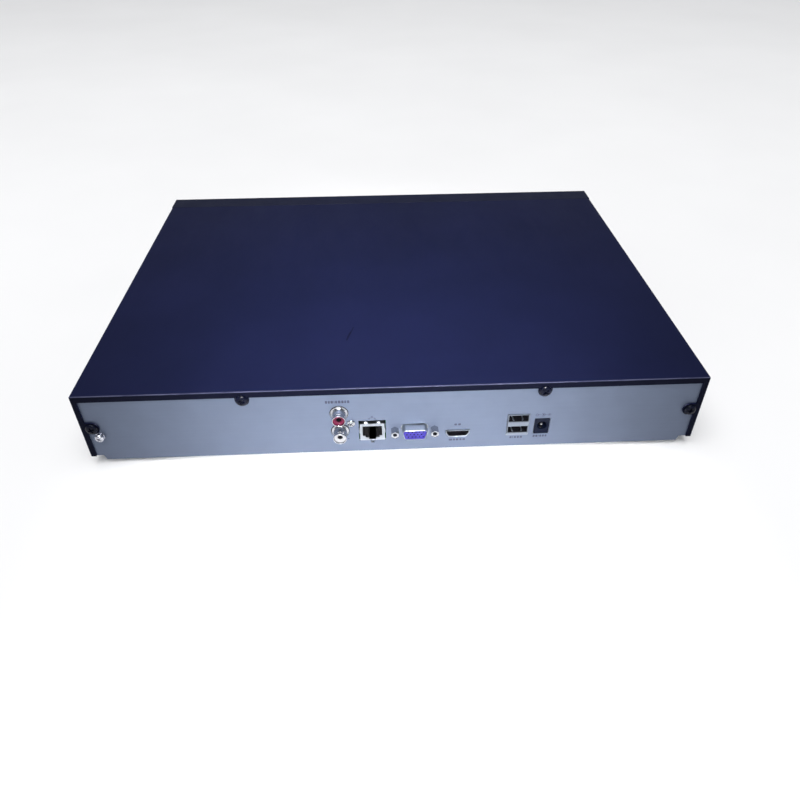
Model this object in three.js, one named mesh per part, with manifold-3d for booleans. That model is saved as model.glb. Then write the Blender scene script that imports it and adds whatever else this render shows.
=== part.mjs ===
// A two-drive network video recorder in a flat sheet-metal case, as an assembly of separate pieces.
// Millimetres, +Z up. The front bezel faces -Y and the socket panel faces +Y. The origin is on the
// surface the feet stand on, under the middle of the whole object.
import * as THREE from "three";
import { mergeVertices } from "three/addons/utils/BufferGeometryUtils.js";
import Module from "manifold-3d";

const wasm = await Module();
wasm.setup();

// ---------------------------------------------------------------- driving dimensions

// Case
const width = 385; // outside the cover
const bodyHeight = 51.5; // tray underside to the cover's top
const footHeight = 3;
const footInset = 25.5;
const footFromFront = 21.6;
const footFromRear = 28;
const coverSheet = 1;
const traySheet = 1;

// Gaps
const seatGap = 0.1; // between pieces that rest on each other
const fitGap = 0.3; // around a piece that passes through or slides past another
const lipGap = 0.2; // rear lip to socket panel
const bezelGap = 0.4; // bezel's rear edge to the cover and tray

// Tray section: a floor, a step up, a ledge that the cover's hooks run under, and a low side flange
const ledgeRise = 3.7;
const ledgeWidth = 6.3;
const stepRun = 1.4;
const flangeTop = 16;
const panelFlange = 9; // top edge of the socket panel, folded in
const frontWallDrop = 3.6; // cover top to the top of the tray's front wall

// Cover
const coverSideBottom = 3.9; // above the tray's underside
const topLip = 4.5;
const sideLip = 3.6;
const tabRadius = 4.3; // round tabs of the lip that carry the screws
const topScrew = { x: 91.6, drop: 6.3 }; // below the cover's top
const sideScrew = { inset: 7.1, z: 26.7 }; // in from the cover's side
const hookLength = 20;
const hookReach = 5.2;
const hooksPerSide = 3;
const ventSlot = { width: 2.4, height: 17, bottom: 21, pitch: 6.2, count: 8, frontShare: 0.28 };

// Screws
const screwHeadRadius = 3.8;
const screwHeadHeight = 1.9;
const screwShankRadius = 1.4;
const screwShankLength = 6.5;
const crossWidth = 0.9;
const crossDepth = 1.1;

// Front
const bezelDepth = 20;
const bezelWall = 2;
const bezelFront = 2.5;
const bezelChamfer = 1.5;
const button = { x: 165, z: 26, radius: 6, stemRadius: 2, recess: 0.2, travel: 1 };
const lens = { x: 88, z: 26, width: 60, height: 16, thickness: 1.5 };
const frontBoard = { x: 117, z: 26, width: 130, height: 28, thickness: 1.6, face: 15 };
const frontUsb = { x: 138, z: 26 };
const hook = { x: 150, width: 8, thickness: 1.8, low: 5.5, high: 42, past: 3 };
const leadSlot = { x: 95, z: 12, width: 14, height: 8 };

// Boards and drives
const board = { left: -106, right: 56, length: 96, top: 9.2, thickness: 1.6, inset: 5, rearInset: 12 };
const bossRadius = 3;
const drive = { width: 101.6, length: 147, height: 26.1, lid: 2, gap: 14, seat: 2 };
const driveHoles = { across: 95.25, along: 44.45, fromRear: 41.3 };
const drivePairX = -25; // middle of the two drives
const cablePassage = 28; // between the drives and the main board
const driveFrontGap = 4.6; // between the drives and the tray's front wall
const dataPlugX = 8; // from a drive's centre
const powerPlugX = 27;

// Fan
const fan = { size: 40, thickness: 10, bore: 19, y: -60, bottom: 5.1, blades: 7 };

// Sockets on the rear panel, with their heights above the main board. u is the distance right of centre
// seen from behind, so x is -u.
const onBoard = (rise) => board.top + rise;
const audio = { u: -34.4, low: onBoard(8.2), high: onBoard(22.4), reach: 8, hole: 5.9, sleeve: 4.15 };
const audioScrew = { u: -27.4, z: onBoard(14.4) };
const lan = { u: -14.3, bottom: onBoard(0.1), width: 15.6, height: 13.4, length: 21 };
const lanCutOut = { width: 17, above: 2.4 }; // in the panel, with room for the shield's fingers
const vga = { u: 12.3, z: onBoard(7.5), reach: 5.9, postPitch: 25, postReach: 5.2 };
const video = {
  u: 39.75,
  bottom: onBoard(0.9),
  top: onBoard(5.35),
  half: 7,
  wall: 0.4,
  reach: 0.5,
  length: 11,
};
const usb = {
  u: 77.9,
  low: onBoard(4.7), // middle of the lower port
  high: onBoard(13.6), // middle of the upper port
  width: 12.5,
  height: 5.3,
  outer: 13.6,
  length: 17,
};
const dc = { u: 93.2, z: onBoard(7.4), width: 9.4, bottom: onBoard(0.8), top: onBoard(12.8), length: 14 };
const dcHole = { radius: 3.2, pin: 1 };
const ground = { inset: 10.3, z: 20, radius: 2.8 }; // in from the cover's side

// ---------------------------------------------------------------- derived places

// The body frame has y = 0 on the outer face of the rear panel and z = 0 on the tray's underside.
// The case is as deep as the board, the cables, the drives and the bezel together.
const lipFace = lipGap + coverSheet;
const boardRear = -traySheet - 0.8;
const boardFront = boardRear - board.length;
const driveRear = boardFront - cablePassage;
const coverFront = driveRear - drive.length - driveFrontGap - traySheet;
const bezelFace = coverFront - bezelGap - bezelDepth;
const trayHalf = width / 2 - coverSheet - fitGap;
const floorHalf = trayHalf - ledgeWidth - stepRun;
const panelTop = bodyHeight - coverSheet - fitGap;
const driveBottom = traySheet + drive.seat + seatGap;
const driveX = [-1, 1].map((side) => drivePairX + (side * (drive.width + drive.gap)) / 2);
const fanZ = fan.bottom + fan.size / 2;
const fanFace = trayHalf - traySheet - seatGap; // the face of the fan against its bracket
const halfX = width / 2;
const groundX = halfX - ground.inset;

// ---------------------------------------------------------------- shapes

const ROUND = 24;
const COARSE = 12;

// A closed geometry as a manifold-3d solid.
function solid(geometry) {
  const bare = geometry.index ? geometry.toNonIndexed() : geometry.clone();
  for (const name of Object.keys(bare.attributes)) {
    if (name !== "position") bare.deleteAttribute(name);
  }
  const merged = mergeVertices(bare, 1e-4);
  return new wasm.Manifold(
    new wasm.Mesh({
      numProp: 3,
      vertProperties: merged.attributes.position.array,
      triVerts: new Uint32Array(merged.index.array),
    }),
  );
}

const join = (...solids) => solids.flat().reduce((all, next) => all.add(next));
const cut = (from, ...tools) => tools.flat().reduce((left, tool) => left.subtract(tool), from);

function box(x0, x1, y0, y1, z0, z1) {
  const geometry = new THREE.BoxGeometry(x1 - x0, y1 - y0, z1 - z0);
  return solid(geometry.translate((x0 + x1) / 2, (y0 + y1) / 2, (z0 + z1) / 2));
}

// A box centred on x and z, from y0 to y1.
const block = (x, z, w, h, y0, y1) => box(x - w / 2, x + w / 2, y0, y1, z - h / 2, z + h / 2);

// A box centred on x and y, from z0 to z1.
const upright = (x, y, w, l, z0, z1) => box(x - w / 2, x + w / 2, y - l / 2, y + l / 2, z0, z1);

function rodY(x, z, radius, y0, y1, sides = ROUND) {
  const geometry = new THREE.CylinderGeometry(radius, radius, y1 - y0, sides);
  return solid(geometry.translate(x, (y0 + y1) / 2, z));
}

function rodZ(x, y, radius, z0, z1, sides = ROUND) {
  const geometry = new THREE.CylinderGeometry(radius, radius, z1 - z0, sides);
  return solid(geometry.rotateX(Math.PI / 2).translate(x, y, (z0 + z1) / 2));
}

const outline = (points) => new THREE.Shape(points.map(([a, b]) => new THREE.Vector2(a, b)));

// An outline in x and z, given thickness from y0 to y1.
function plateY(points, y0, y1) {
  const geometry = new THREE.ExtrudeGeometry(outline(points), { depth: y1 - y0, bevelEnabled: false });
  return solid(geometry.rotateX(Math.PI / 2).translate(0, y1, 0));
}

// An outline in x and y, given thickness from z0 to z1.
function plateZ(points, z0, z1) {
  const geometry = new THREE.ExtrudeGeometry(outline(points), { depth: z1 - z0, bevelEnabled: false });
  return solid(geometry.translate(0, 0, z0));
}

// An outline in y and z, given thickness from x0 to x1.
function plateX(points, x0, x1) {
  const geometry = new THREE.ExtrudeGeometry(outline(points), { depth: x1 - x0, bevelEnabled: false });
  const turn = new THREE.Matrix4().makeBasis(
    new THREE.Vector3(0, 1, 0),
    new THREE.Vector3(0, 0, 1),
    new THREE.Vector3(1, 0, 0),
  );
  return solid(geometry.applyMatrix4(turn).translate(x0, 0, 0));
}

// A profile of [radius, y] pairs turned about the Y axis. It starts and ends on the axis, or closes on itself.
function turned(profile, sides = ROUND) {
  const points = profile.map(([r, y]) => new THREE.Vector2(r, y));
  return solid(new THREE.LatheGeometry(points, sides));
}

const mirrored = (points) => [...points, ...points.map(([x, z]) => [-x, z]).reverse()];
const shifted = (points, dx, dz) => points.map(([x, z]) => [x + dx, z + dz]);

// A cable that follows points, with an oval section.
function cable(points, halfWidth, halfHeight, steps) {
  const path = new THREE.CatmullRomCurve3(points.map((p) => new THREE.Vector3(...p)), false, "centripetal");
  const ring = Array.from({ length: 8 }, (_, i) => {
    const angle = ((i + 0.5) / 8) * 2 * Math.PI;
    return [halfWidth * Math.cos(angle), halfHeight * Math.sin(angle)];
  });
  return solid(new THREE.ExtrudeGeometry(outline(ring), { steps, extrudePath: path, bevelEnabled: false }));
}

// ---------------------------------------------------------------- materials

const material = (color, roughness, metalness, more = {}) =>
  new THREE.MeshStandardMaterial({ color, roughness, metalness, ...more });
const paint = {
  cover: material(0x16182b, 0.45, 0.3),
  tray: material(0x9fa6b4, 0.38, 0.8),
  screwBlack: material(0x0d0e12, 0.35, 0.6),
  screwBright: material(0xc9ccd2, 0.25, 1),
  nickel: material(0xc4c7cc, 0.22, 1),
  tin: material(0xb9bdc4, 0.3, 1),
  rubber: material(0x141414, 0.85, 0),
  bezel: material(0x121318, 0.5, 0),
  lens: material(0x0a0a0d, 0.08, 0),
  plasticBlack: material(0x101113, 0.5, 0),
  plasticWhite: material(0xe9e9e6, 0.4, 0),
  plasticRed: material(0x8f0f2c, 0.4, 0),
  plasticBlue: material(0x2b20b8, 0.45, 0),
  plasticClear: material(0xdfe4e8, 0.15, 0),
  boardGreen: material(0x1d4a2c, 0.5, 0),
  chip: material(0x17181a, 0.6, 0),
  anodised: material(0x2b2d30, 0.45, 0.8),
  castAluminium: material(0x8d9094, 0.5, 0.8),
  lidSteel: material(0xb4b7bb, 0.3, 0.9),
  cableRed: material(0xa01a1a, 0.55, 0),
  cableBlack: material(0x18181a, 0.6, 0),
};

// ---------------------------------------------------------------- tray

// Floor, steps, ledges and side flanges in one folded sheet.
function traySection() {
  const t = traySheet;
  const under = [
    [floorHalf, 0],
    [floorHalf + stepRun, ledgeRise],
    [trayHalf, ledgeRise],
    [trayHalf, flangeTop],
  ];
  const over = [
    [trayHalf - t, flangeTop],
    [trayHalf - t, ledgeRise + t],
    [floorHalf + stepRun - t / 2, ledgeRise + t],
    [floorHalf - t / 2, t],
  ];
  const otherSide = (points) => points.map(([x, z]) => [-x, z]).reverse();
  return plateY([...otherSide(under), ...under, ...over, ...otherSide(over)], coverFront, 0);
}

// An upright end wall of the tray, with the bottom corners notched for the cover's hooks.
function trayWall(top, y0, y1) {
  const corner = [
    [floorHalf, 0],
    [floorHalf + stepRun, ledgeRise],
    [trayHalf, ledgeRise],
    [trayHalf, top],
  ];
  return plateY(mirrored(corner), y0, y1);
}

const frontWallTop = bodyHeight - frontWallDrop;
const topScrewZ = bodyHeight - topScrew.drop;
const sideScrewX = width / 2 - sideScrew.inset;
const coverScrewPlaces = [
  { name: "cover_screw_top_left", x: topScrew.x, z: topScrewZ },
  { name: "cover_screw_top_right", x: -topScrew.x, z: topScrewZ },
  { name: "cover_screw_side_left", x: sideScrewX, z: sideScrew.z },
  { name: "cover_screw_side_right", x: -sideScrewX, z: sideScrew.z },
];

// The openings of the rear panel, each a little larger than the socket behind it.
function panelOpenings() {
  const from = -traySheet - 1;
  const to = 1;
  const openings = [];
  for (const z of [audio.low, audio.high]) {
    openings.push(rodY(-audio.u, z, audio.hole, from, to));
  }
  openings.push(rodY(-audioScrew.u, audioScrew.z, screwShankRadius + fitGap, from, to, COARSE));
  openings.push(
    box(
      -lan.u - lanCutOut.width / 2,
      -lan.u + lanCutOut.width / 2,
      from,
      to,
      lan.bottom - fitGap,
      lan.bottom + lan.height + lanCutOut.above,
    ),
  );
  openings.push(block(-lan.u, lan.bottom - 1.8, 2.2, 1.4, from, to));
  openings.push(plateY(shifted(vgaOutline(fitGap + 0.4), -vga.u, vga.z), from, to));
  for (const side of [-1, 1]) {
    openings.push(
      rodY(-vga.u + (side * vga.postPitch) / 2, vga.z, postShankRadius + fitGap, from, to, COARSE),
    );
  }
  openings.push(plateY(shifted(videoOutline(video.wall + fitGap), -video.u, 0), from, to));
  openings.push(
    box(
      -usb.u - usb.outer / 2 - fitGap,
      -usb.u + usb.outer / 2 + fitGap,
      from,
      to,
      usbBottom - fitGap,
      usbTop + fitGap,
    ),
  );
  const dcHalf = dc.width / 2 + fitGap;
  openings.push(box(-dc.u - dcHalf, -dc.u + dcHalf, from, to, dc.bottom - fitGap, dc.top + fitGap));
  openings.push(rodY(groundX, ground.z, screwShankRadius + fitGap, from, to, COARSE));
  for (const place of coverScrewPlaces) {
    openings.push(rodY(place.x, place.z, screwShankRadius + fitGap, from, to, COARSE));
  }
  return openings;
}

const boardHoles = [board.left + board.inset, board.right - board.inset].flatMap((x) =>
  [boardRear - board.rearInset, boardFront + board.inset].map((y) => [x, y]),
);
const boardUnderside = board.top - board.thickness;

// The four points of each drive that a screw holds from below.
const driveMounts = driveX.flatMap((x) =>
  [-1, 1].flatMap((side) =>
    [0, 1].map((row) => [
      x + (side * driveHoles.across) / 2,
      driveRear - driveHoles.fromRear - row * driveHoles.along,
    ]),
  ),
);

function chassisTray() {
  const t = traySheet;
  const fanPlate = box(
    trayHalf - t,
    trayHalf,
    fan.y - fan.size / 2 - 4,
    fan.y + fan.size / 2 + 4,
    flangeTop - 1,
    fan.bottom + fan.size + 2,
  );
  const body = join(
    traySection(),
    trayWall(panelTop, -t, 0),
    trayWall(frontWallTop, coverFront, coverFront + t),
    box(-floorHalf, floorHalf, -panelFlange, 0, panelTop - t, panelTop),
    fanPlate,
    boardHoles.map(([x, y]) => rodZ(x, y, bossRadius, t / 2, boardUnderside - seatGap, COARSE)),
    driveMounts.map(([x, y]) => rodZ(x, y, bossRadius + 1, t / 2, t + drive.seat, COARSE)),
  );
  const air = new THREE.CylinderGeometry(fan.bore - 0.5, fan.bore - 0.5, 4 * t, ROUND);
  const fanHole = solid(air.rotateZ(Math.PI / 2).translate(trayHalf, fan.y, fanZ));
  const wallFrom = coverFront - t;
  const wallTo = coverFront + 2 * t;
  const leadHole = block(leadSlot.x, leadSlot.z, leadSlot.width, leadSlot.height, wallFrom, wallTo);
  const hookHoles = hookPlaces().map(({ x, z, up }) =>
    block(x, z + up * 0.6, hook.width + 2 * fitGap, hook.thickness + 2.4, wallFrom, wallTo),
  );
  const floorVents = driveX.flatMap((x) =>
    Array.from({ length: 6 }, (_, i) => {
      const y = driveRear - drive.length + 22 + i * 8;
      return box(x - 22, x + 22, y, y + 2.6, -1, t + 1);
    }),
  );
  return cut(
    body,
    panelOpenings(),
    fanHole,
    leadHole,
    hookHoles,
    floorVents,
    boardHoles.map(([x, y]) => rodZ(x, y, boardScrewRadius + 0.15, -1, boardUnderside + 1, COARSE)),
    driveMounts.map(([x, y]) => rodZ(x, y, 1.9, -1, t + drive.seat + 1, COARSE)),
  );
}

function foot() {
  const profile = [
    [0, -footHeight],
    [7.4, -footHeight],
    [8, -footHeight + 0.8],
    [8.4, -seatGap],
    [0, -seatGap],
  ];
  return turned(profile).rotate([90, 0, 0]);
}

// ---------------------------------------------------------------- cover

function topCover() {
  const t = coverSheet;
  const side = halfX - t;
  const top = bodyHeight;
  const shell = join(
    box(-halfX, halfX, coverFront, lipFace, top - t, top),
    box(-halfX, -side, coverFront, lipFace, coverSideBottom, top),
    box(side, halfX, coverFront, lipFace, coverSideBottom, top),
    box(-halfX, halfX, lipGap, lipFace, top - topLip, top),
    box(-halfX, -halfX + sideLip, lipGap, lipFace, coverSideBottom, top),
    box(halfX - sideLip, halfX, lipGap, lipFace, coverSideBottom, top),
    coverScrewPlaces.map(({ x, z }) => rodY(x, z, tabRadius, lipGap, lipFace)),
  );
  const hookTop = ledgeRise - fitGap;
  const hookBottom = hookTop - t;
  const hooks = [];
  const vents = [];
  const length = lipFace - coverFront;
  const bank = ventSlot.pitch * (ventSlot.count - 1);
  const bankMiddles = [fan.y, coverFront + ventSlot.frontShare * length];
  for (const s of [-1, 1]) {
    for (let i = 0; i < hooksPerSide; i++) {
      const y = coverFront + (length * (i + 0.5)) / hooksPerSide;
      const outer = [s * (side - hookReach), s * halfX].sort((a, b) => a - b);
      const wall = [s * side, s * halfX].sort((a, b) => a - b);
      hooks.push(box(...outer, y - hookLength / 2, y + hookLength / 2, hookBottom, hookTop));
      hooks.push(box(...wall, y - hookLength / 2, y + hookLength / 2, hookBottom, coverSideBottom + 1));
    }
    for (const middle of bankMiddles) {
      for (let i = 0; i < ventSlot.count; i++) {
        const y = middle - bank / 2 + i * ventSlot.pitch;
        vents.push(
          box(
            s * halfX - 2,
            s * halfX + 2,
            y - ventSlot.width / 2,
            y + ventSlot.width / 2,
            ventSlot.bottom,
            ventSlot.bottom + ventSlot.height,
          ),
        );
      }
    }
  }
  const screwHoles = coverScrewPlaces.map(({ x, z }) =>
    rodY(x, z, screwShankRadius + fitGap, lipGap - 1, lipFace + 1, COARSE),
  );
  return cut(join(shell, hooks), vents, screwHoles);
}

// A pan-head screw along Y with a cross recess; y = 0 is under its head and the shank goes to -Y.
function panScrew(headRadius, headHeight, shankRadius, shankLength) {
  const body = turned([
    [0, -shankLength],
    [shankRadius, -shankLength],
    [shankRadius, 0],
    [headRadius, 0],
    [headRadius, headHeight * 0.45],
    [headRadius * 0.7, headHeight],
    [0, headHeight],
  ], 16);
  const arm = headRadius * 0.62;
  return cut(
    body,
    box(-arm, arm, headHeight - crossDepth, headHeight + 1, -crossWidth / 2, crossWidth / 2),
    box(-crossWidth / 2, crossWidth / 2, headHeight - crossDepth, headHeight + 1, -arm, arm),
  );
}

// ---------------------------------------------------------------- rear sockets

const postShankRadius = 1.45;
const usbBottom = board.top + seatGap;
const usbTop = usb.high + usb.height / 2 + 0.6;
const inside = -traySheet - seatGap; // the plane just behind the panel

// The stacked housing behind the two audio sleeves, with an ear for its screw.
function audioHousing() {
  const halfWidth = 5.7;
  const length = 12.5;
  const body = join(
    box(
      -audio.u - halfWidth,
      -audio.u + halfWidth,
      inside - length,
      inside,
      board.top + seatGap,
      audio.high + 6.9,
    ),
    box(-audioScrew.u - 3.4, -audio.u, inside - 5, inside, audioScrew.z - 3.6, audioScrew.z + 3.6),
  );
  return cut(
    body,
    [audio.low, audio.high].map((z) => rodY(-audio.u, z, audio.sleeve + 0.2, inside - 9, inside + 1)),
    rodY(-audioScrew.u, audioScrew.z, screwShankRadius + 0.1, inside - 6, inside + 1, COARSE),
  );
}

// A nickel sleeve with a collar that fills most of the panel hole.
function audioSleeve() {
  const r = audio.sleeve;
  const bore = r - 0.5;
  const back = inside - 8.5;
  return turned([
    [bore, back],
    [r, back],
    [r, inside + seatGap / 2],
    [audio.hole - 0.6, inside + seatGap / 2],
    [audio.hole - 0.6, 0.3],
    [r, 0.5],
    [r, audio.reach - 0.4],
    [r - 0.3, audio.reach],
    [bore, audio.reach],
    [bore, back],
  ]);
}

// The coloured ring inside a sleeve, with the hole for the plug's centre pin.
function audioInsert() {
  const r = audio.sleeve - 0.5 - 0.1;
  const pinHole = 1.7;
  return turned([
    [pinHole, inside - 8],
    [r, inside - 8],
    [r, audio.reach - 1.2],
    [r - 0.3, audio.reach - 0.9],
    [pinHole, audio.reach - 0.9],
    [pinHole, inside - 8],
  ]);
}

// The network opening: a wide upper part with a step and a key below for the plug's latch.
const lanOpening = mirrored([
  [2.3, 0.5],
  [2.3, 2],
  [4.5, 2],
  [4.5, 3.5],
  [6.1, 3.5],
  [6.1, 11.3],
]);

function lanShield() {
  const half = lan.width / 2;
  const top = lan.bottom + lan.height;
  const wall = 0.4;
  const reach = 0.4;
  const shell = cut(
    box(-half, half, inside - lan.length, reach, lan.bottom, top),
    box(-half + wall, half - wall, inside - lan.length - 1, reach - wall, lan.bottom + wall, top - wall),
    plateY(shifted(lanOpening, 0, lan.bottom), reach - 2 * wall, reach + 1),
  );
  // Two spring fingers on top that touch the edge of the panel's opening.
  const fingers = [-3.9, 3.9].map((x) =>
    plateX(
      [
        [-3, top - 0.2],
        [reach - 0.1, top - 0.2],
        [reach - 0.1, top + 1],
        [reach - 0.8, top + 1.5],
        [-1.6, top + 1],
      ],
      x - 1.1,
      x + 1.1,
    ),
  );
  return join(shell, fingers);
}

function lanInsert() {
  const half = lan.width / 2 - 0.4 - seatGap;
  const bottom = lan.bottom + 0.4 + seatGap;
  const top = lan.bottom + lan.height - 0.4 - seatGap;
  const front = 0.4 - 0.4 - seatGap;
  return cut(
    box(-half, half, inside - lan.length + 1, front, bottom, top),
    plateY(shifted(lanOpening, 0, lan.bottom), front - 12, front + 1),
  );
}

// A D-shaped outline with rounded corners, grown by a margin all round.
function vgaOutline(grow) {
  const topHalf = 8.15;
  const lowHalf = 6.75;
  const half = 3.95 + grow;
  const corner = 2.2 + grow;
  const corners = [
    [lowHalf + grow, -half, -90],
    [topHalf + grow, half, 0],
  ];
  const points = corners.flatMap(([x, z, start]) =>
    [0, 1, 2, 3].map((i) => {
      const angle = ((start + i * 30) * Math.PI) / 180;
      const centreZ = z > 0 ? z - corner : z + corner;
      return [x - corner + corner * Math.cos(angle), centreZ + corner * Math.sin(angle)];
    }),
  );
  return mirrored(points);
}

function vgaShell() {
  const wall = 0.45;
  const flange = 0.5;
  const tube = cut(
    plateY(vgaOutline(0), inside - flange, vga.reach),
    plateY(vgaOutline(-wall), inside - flange - 1, vga.reach + 1),
  );
  const plate = cut(
    block(0, 0, 30.8, 12.4, inside - flange, inside),
    plateY(vgaOutline(-wall), inside - flange - 1, inside + 1),
    [-1, 1].map((side) =>
      rodY((side * vga.postPitch) / 2, 0, postShankRadius + fitGap, inside - 2, inside + 1, COARSE),
    ),
  );
  return join(tube, plate);
}

function vgaInsert() {
  const boardGap = board.top + seatGap - vga.z;
  return join(
    plateY(vgaOutline(-0.45 - seatGap), inside - 3, vga.reach - 0.6),
    box(-9.5, 9.5, inside - 12, inside - 0.5 - seatGap, boardGap, 5.6),
  );
}

// A hexagonal jack post with a threaded bore.
function vgaPost() {
  const acrossFlats = 4.7;
  const hex = rodY(0, 0, acrossFlats / Math.sqrt(3), seatGap, vga.postReach, 6);
  const shank = rodY(0, 0, postShankRadius, inside - 4.5, 1, COARSE);
  return cut(join(hex, shank), rodY(0, 0, 1.25, vga.postReach - 4, vga.postReach + 1, COARSE));
}

// The digital video opening: a flat rectangle with its two lower corners cut away, grown by a margin.
function videoOutline(grow) {
  const slope = video.half - 2.2;
  return mirrored([
    [slope + grow * 0.4, video.bottom - grow],
    [video.half + grow, video.bottom + 2.2 - grow * 0.4],
    [video.half + grow, video.top + grow],
  ]);
}

function videoShell() {
  const legs = [-1, 1].map((side) =>
    block(side * (video.half + video.wall / 2), board.top + 2, video.wall, 3.8, inside - 7, inside - 4),
  );
  return cut(
    join(plateY(videoOutline(video.wall), inside - video.length, video.reach), legs),
    plateY(videoOutline(0), inside - video.length + video.wall, video.reach + 1),
  );
}

function videoInsert() {
  const back = inside - video.length + video.wall + seatGap;
  const tongueZ = (video.bottom + video.top) / 2 + 0.3;
  return join(
    plateY(videoOutline(-seatGap), back, back + 2.5),
    block(0, tongueZ, 10.6, 1.2, back + 2, video.reach - 1.5),
  );
}

// One metal shell round two stacked ports.
function usbShell() {
  const reach = 0.4;
  const ports = [usb.low, usb.high].map((z) => block(0, z, usb.width, usb.height, reach - 13, reach + 1));
  return cut(box(-usb.outer / 2, usb.outer / 2, inside - usb.length, reach, usbBottom, usbTop), ports);
}

// The tongue that carries the contacts of one port.
function usbTongue() {
  return block(0, 0.9, 11.1, 1.8, 0.4 - 13 + seatGap, 0.4 - 3);
}

function dcBody() {
  const reach = 0.3;
  const half = dc.width / 2;
  return cut(
    join(
      box(-half, half, inside - dc.length, reach, dc.bottom, dc.top),
      box(-half + 1, half - 1, inside - dc.length, inside - 2, board.top + seatGap, dc.bottom + 1),
    ),
    rodY(0, dc.z, dcHole.radius, reach - 10, reach + 1),
  );
}

const dcPin = () => rodY(0, dc.z, dcHole.pin, 0.3 - 10 + seatGap, -0.6, COARSE);

// A bright screw with its captive washers, for the earth wire.
function groundScrew() {
  const washers = join(rodY(0, 0, ground.radius + 0.05, seatGap, 0.9, 16), rodY(0, 0, 2.3, 0.5, 2, 16));
  return join(washers, panScrew(ground.radius, 2.2, screwShankRadius, 5).translate([0, 1.9, 0]));
}

// ---------------------------------------------------------------- main board

const boardScrewRadius = 1.2;

function mainBoard() {
  return cut(
    box(board.left, board.right, boardFront, boardRear, boardUnderside, board.top),
    boardHoles.map(([x, y]) => rodZ(x, y, boardScrewRadius + fitGap, 0, board.top + 1, COARSE)),
  );
}

const processor = { x: -20, y: boardRear - 52, size: 27, height: 2.2 };
const heatsink = { size: 42, base: 3, fins: 9, finHeight: 10, fin: 1.3 };

const processorChip = () =>
  box(
    processor.x - processor.size / 2,
    processor.x + processor.size / 2,
    processor.y - processor.size / 2,
    processor.y + processor.size / 2,
    board.top + seatGap,
    board.top + seatGap + processor.height,
  );

function processorHeatsink() {
  const z0 = board.top + processor.height + 2 * seatGap;
  const half = heatsink.size / 2;
  const { x, y } = processor;
  const base = box(x - half, x + half, y - half, y + half, z0, z0 + heatsink.base);
  const pitch = (heatsink.size - heatsink.fin) / (heatsink.fins - 1);
  const fins = Array.from({ length: heatsink.fins }, (_, i) => {
    const left = x - half + i * pitch;
    const top = z0 + heatsink.base + heatsink.finHeight;
    return box(left, left + heatsink.fin, y - half, y + half, z0 + 1, top);
  });
  return join(base, fins);
}

const cell = { x: -78, y: boardRear - 60, radius: 10, height: 3.2 };

const coinCell = () =>
  rodZ(cell.x, cell.y, cell.radius, board.top + 1.3, board.top + 1.3 + cell.height);

function coinCellHolder() {
  const z = board.top + seatGap;
  const outer = cell.radius + 1.6;
  return cut(
    rodZ(cell.x, cell.y, outer, z, z + 4.2),
    rodZ(cell.x, cell.y, cell.radius + fitGap, board.top + 1.2, z + 6),
    box(cell.x - 5, cell.x + 5, cell.y - outer - 1, cell.y - 4, board.top + 1.2, z + 6),
  );
}

const networkTransformer = () => upright(-lan.u, boardRear - 32, 13, 10, board.top + seatGap, board.top + 5);

// A round sounder with a hole in its top.
function buzzer() {
  const x = cell.x + 24;
  const y = cell.y - 8;
  const top = board.top + 7;
  return cut(rodZ(x, y, 6, board.top + seatGap, top), rodZ(x, y, 1.2, top - 4, top + 1, COARSE));
}

const socketRow = boardFront + 12; // the line of sockets at the board's inner edge
const dataSocketTop = board.top + 8;

// An upright socket for a drive's data cable.
function dataSocket(x) {
  return cut(
    upright(x, socketRow, 14, 5, board.top + seatGap, dataSocketTop),
    upright(x, socketRow, 11.5, 1.4, dataSocketTop - 5, dataSocketTop + 1),
  );
}

const header = { x: -15, top: board.top + 7 };

const powerHeader = () => upright(header.x, socketRow, 11, 6, board.top + seatGap, header.top);

// ---------------------------------------------------------------- drives and their cables

function driveBase() {
  const h = drive.height - drive.lid - seatGap;
  const half = drive.width / 2;
  const body = plateZ(
    [
      [-half, -drive.length + 3],
      [-half + 3, -drive.length],
      [half - 3, -drive.length],
      [half, -drive.length + 3],
      [half, -3],
      [half - 3, 0],
      [-half + 3, 0],
      [-half, -3],
    ],
    0,
    h,
  );
  return cut(
    body,
    rodZ(0, -drive.length * 0.62, half - 3.5, 6, h + 1, 32),
    box(-half + 14, half - 22, -38, -8, 8, h + 1),
    box(-half + 6, half - 6, -drive.length + 8, -6, -1, 2.2),
  );
}

function driveLid() {
  const z0 = drive.height - drive.lid;
  const half = drive.width / 2 - 1.2;
  const end = drive.length - 1.2;
  const sheet = plateZ(
    [
      [-half, -end + 3],
      [-half + 3, -end],
      [half - 3, -end],
      [half, -end + 3],
      [half, -4.2],
      [half - 3, -1.2],
      [-half + 3, -1.2],
      [-half, -4.2],
    ],
    z0,
    z0 + drive.lid * 0.6,
  );
  const dome = rodZ(0, -drive.length * 0.62, half - 5, z0 + 0.5, z0 + drive.lid, 32);
  return join(sheet, dome);
}

const plug = { length: 14, height: 6, data: 13.5, power: 21, z: driveBottom + 5.5 };
const plugEnd = driveRear + seatGap + plug.length;

function drivePlug(x, w) {
  return block(x, plug.z, w, plug.height, driveRear + seatGap, plugEnd);
}

// Data cable: out of the drive's plug, up in an arch and down into the plug on the board's socket.
function dataCable(driveCentre) {
  const x = driveCentre + dataPlugX;
  const z0 = dataSocketTop + seatGap;
  const topPlug = upright(x, socketRow, 13.5, 6, z0, z0 + 10);
  const run = cable(
    [
      [x, plugEnd - 2, plug.z],
      [x, plugEnd + 4, plug.z + 1],
      [x, plugEnd + 8.5, plug.z + 9],
      [x, plugEnd + 12, plug.z + 20],
      [x, socketRow - 7, z0 + 19],
      [x, socketRow - 1.5, z0 + 17],
      [x, socketRow, z0 + 8],
    ],
    1,
    3.4,
    20,
  );
  return join(drivePlug(x, plug.data), run, topPlug);
}

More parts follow.
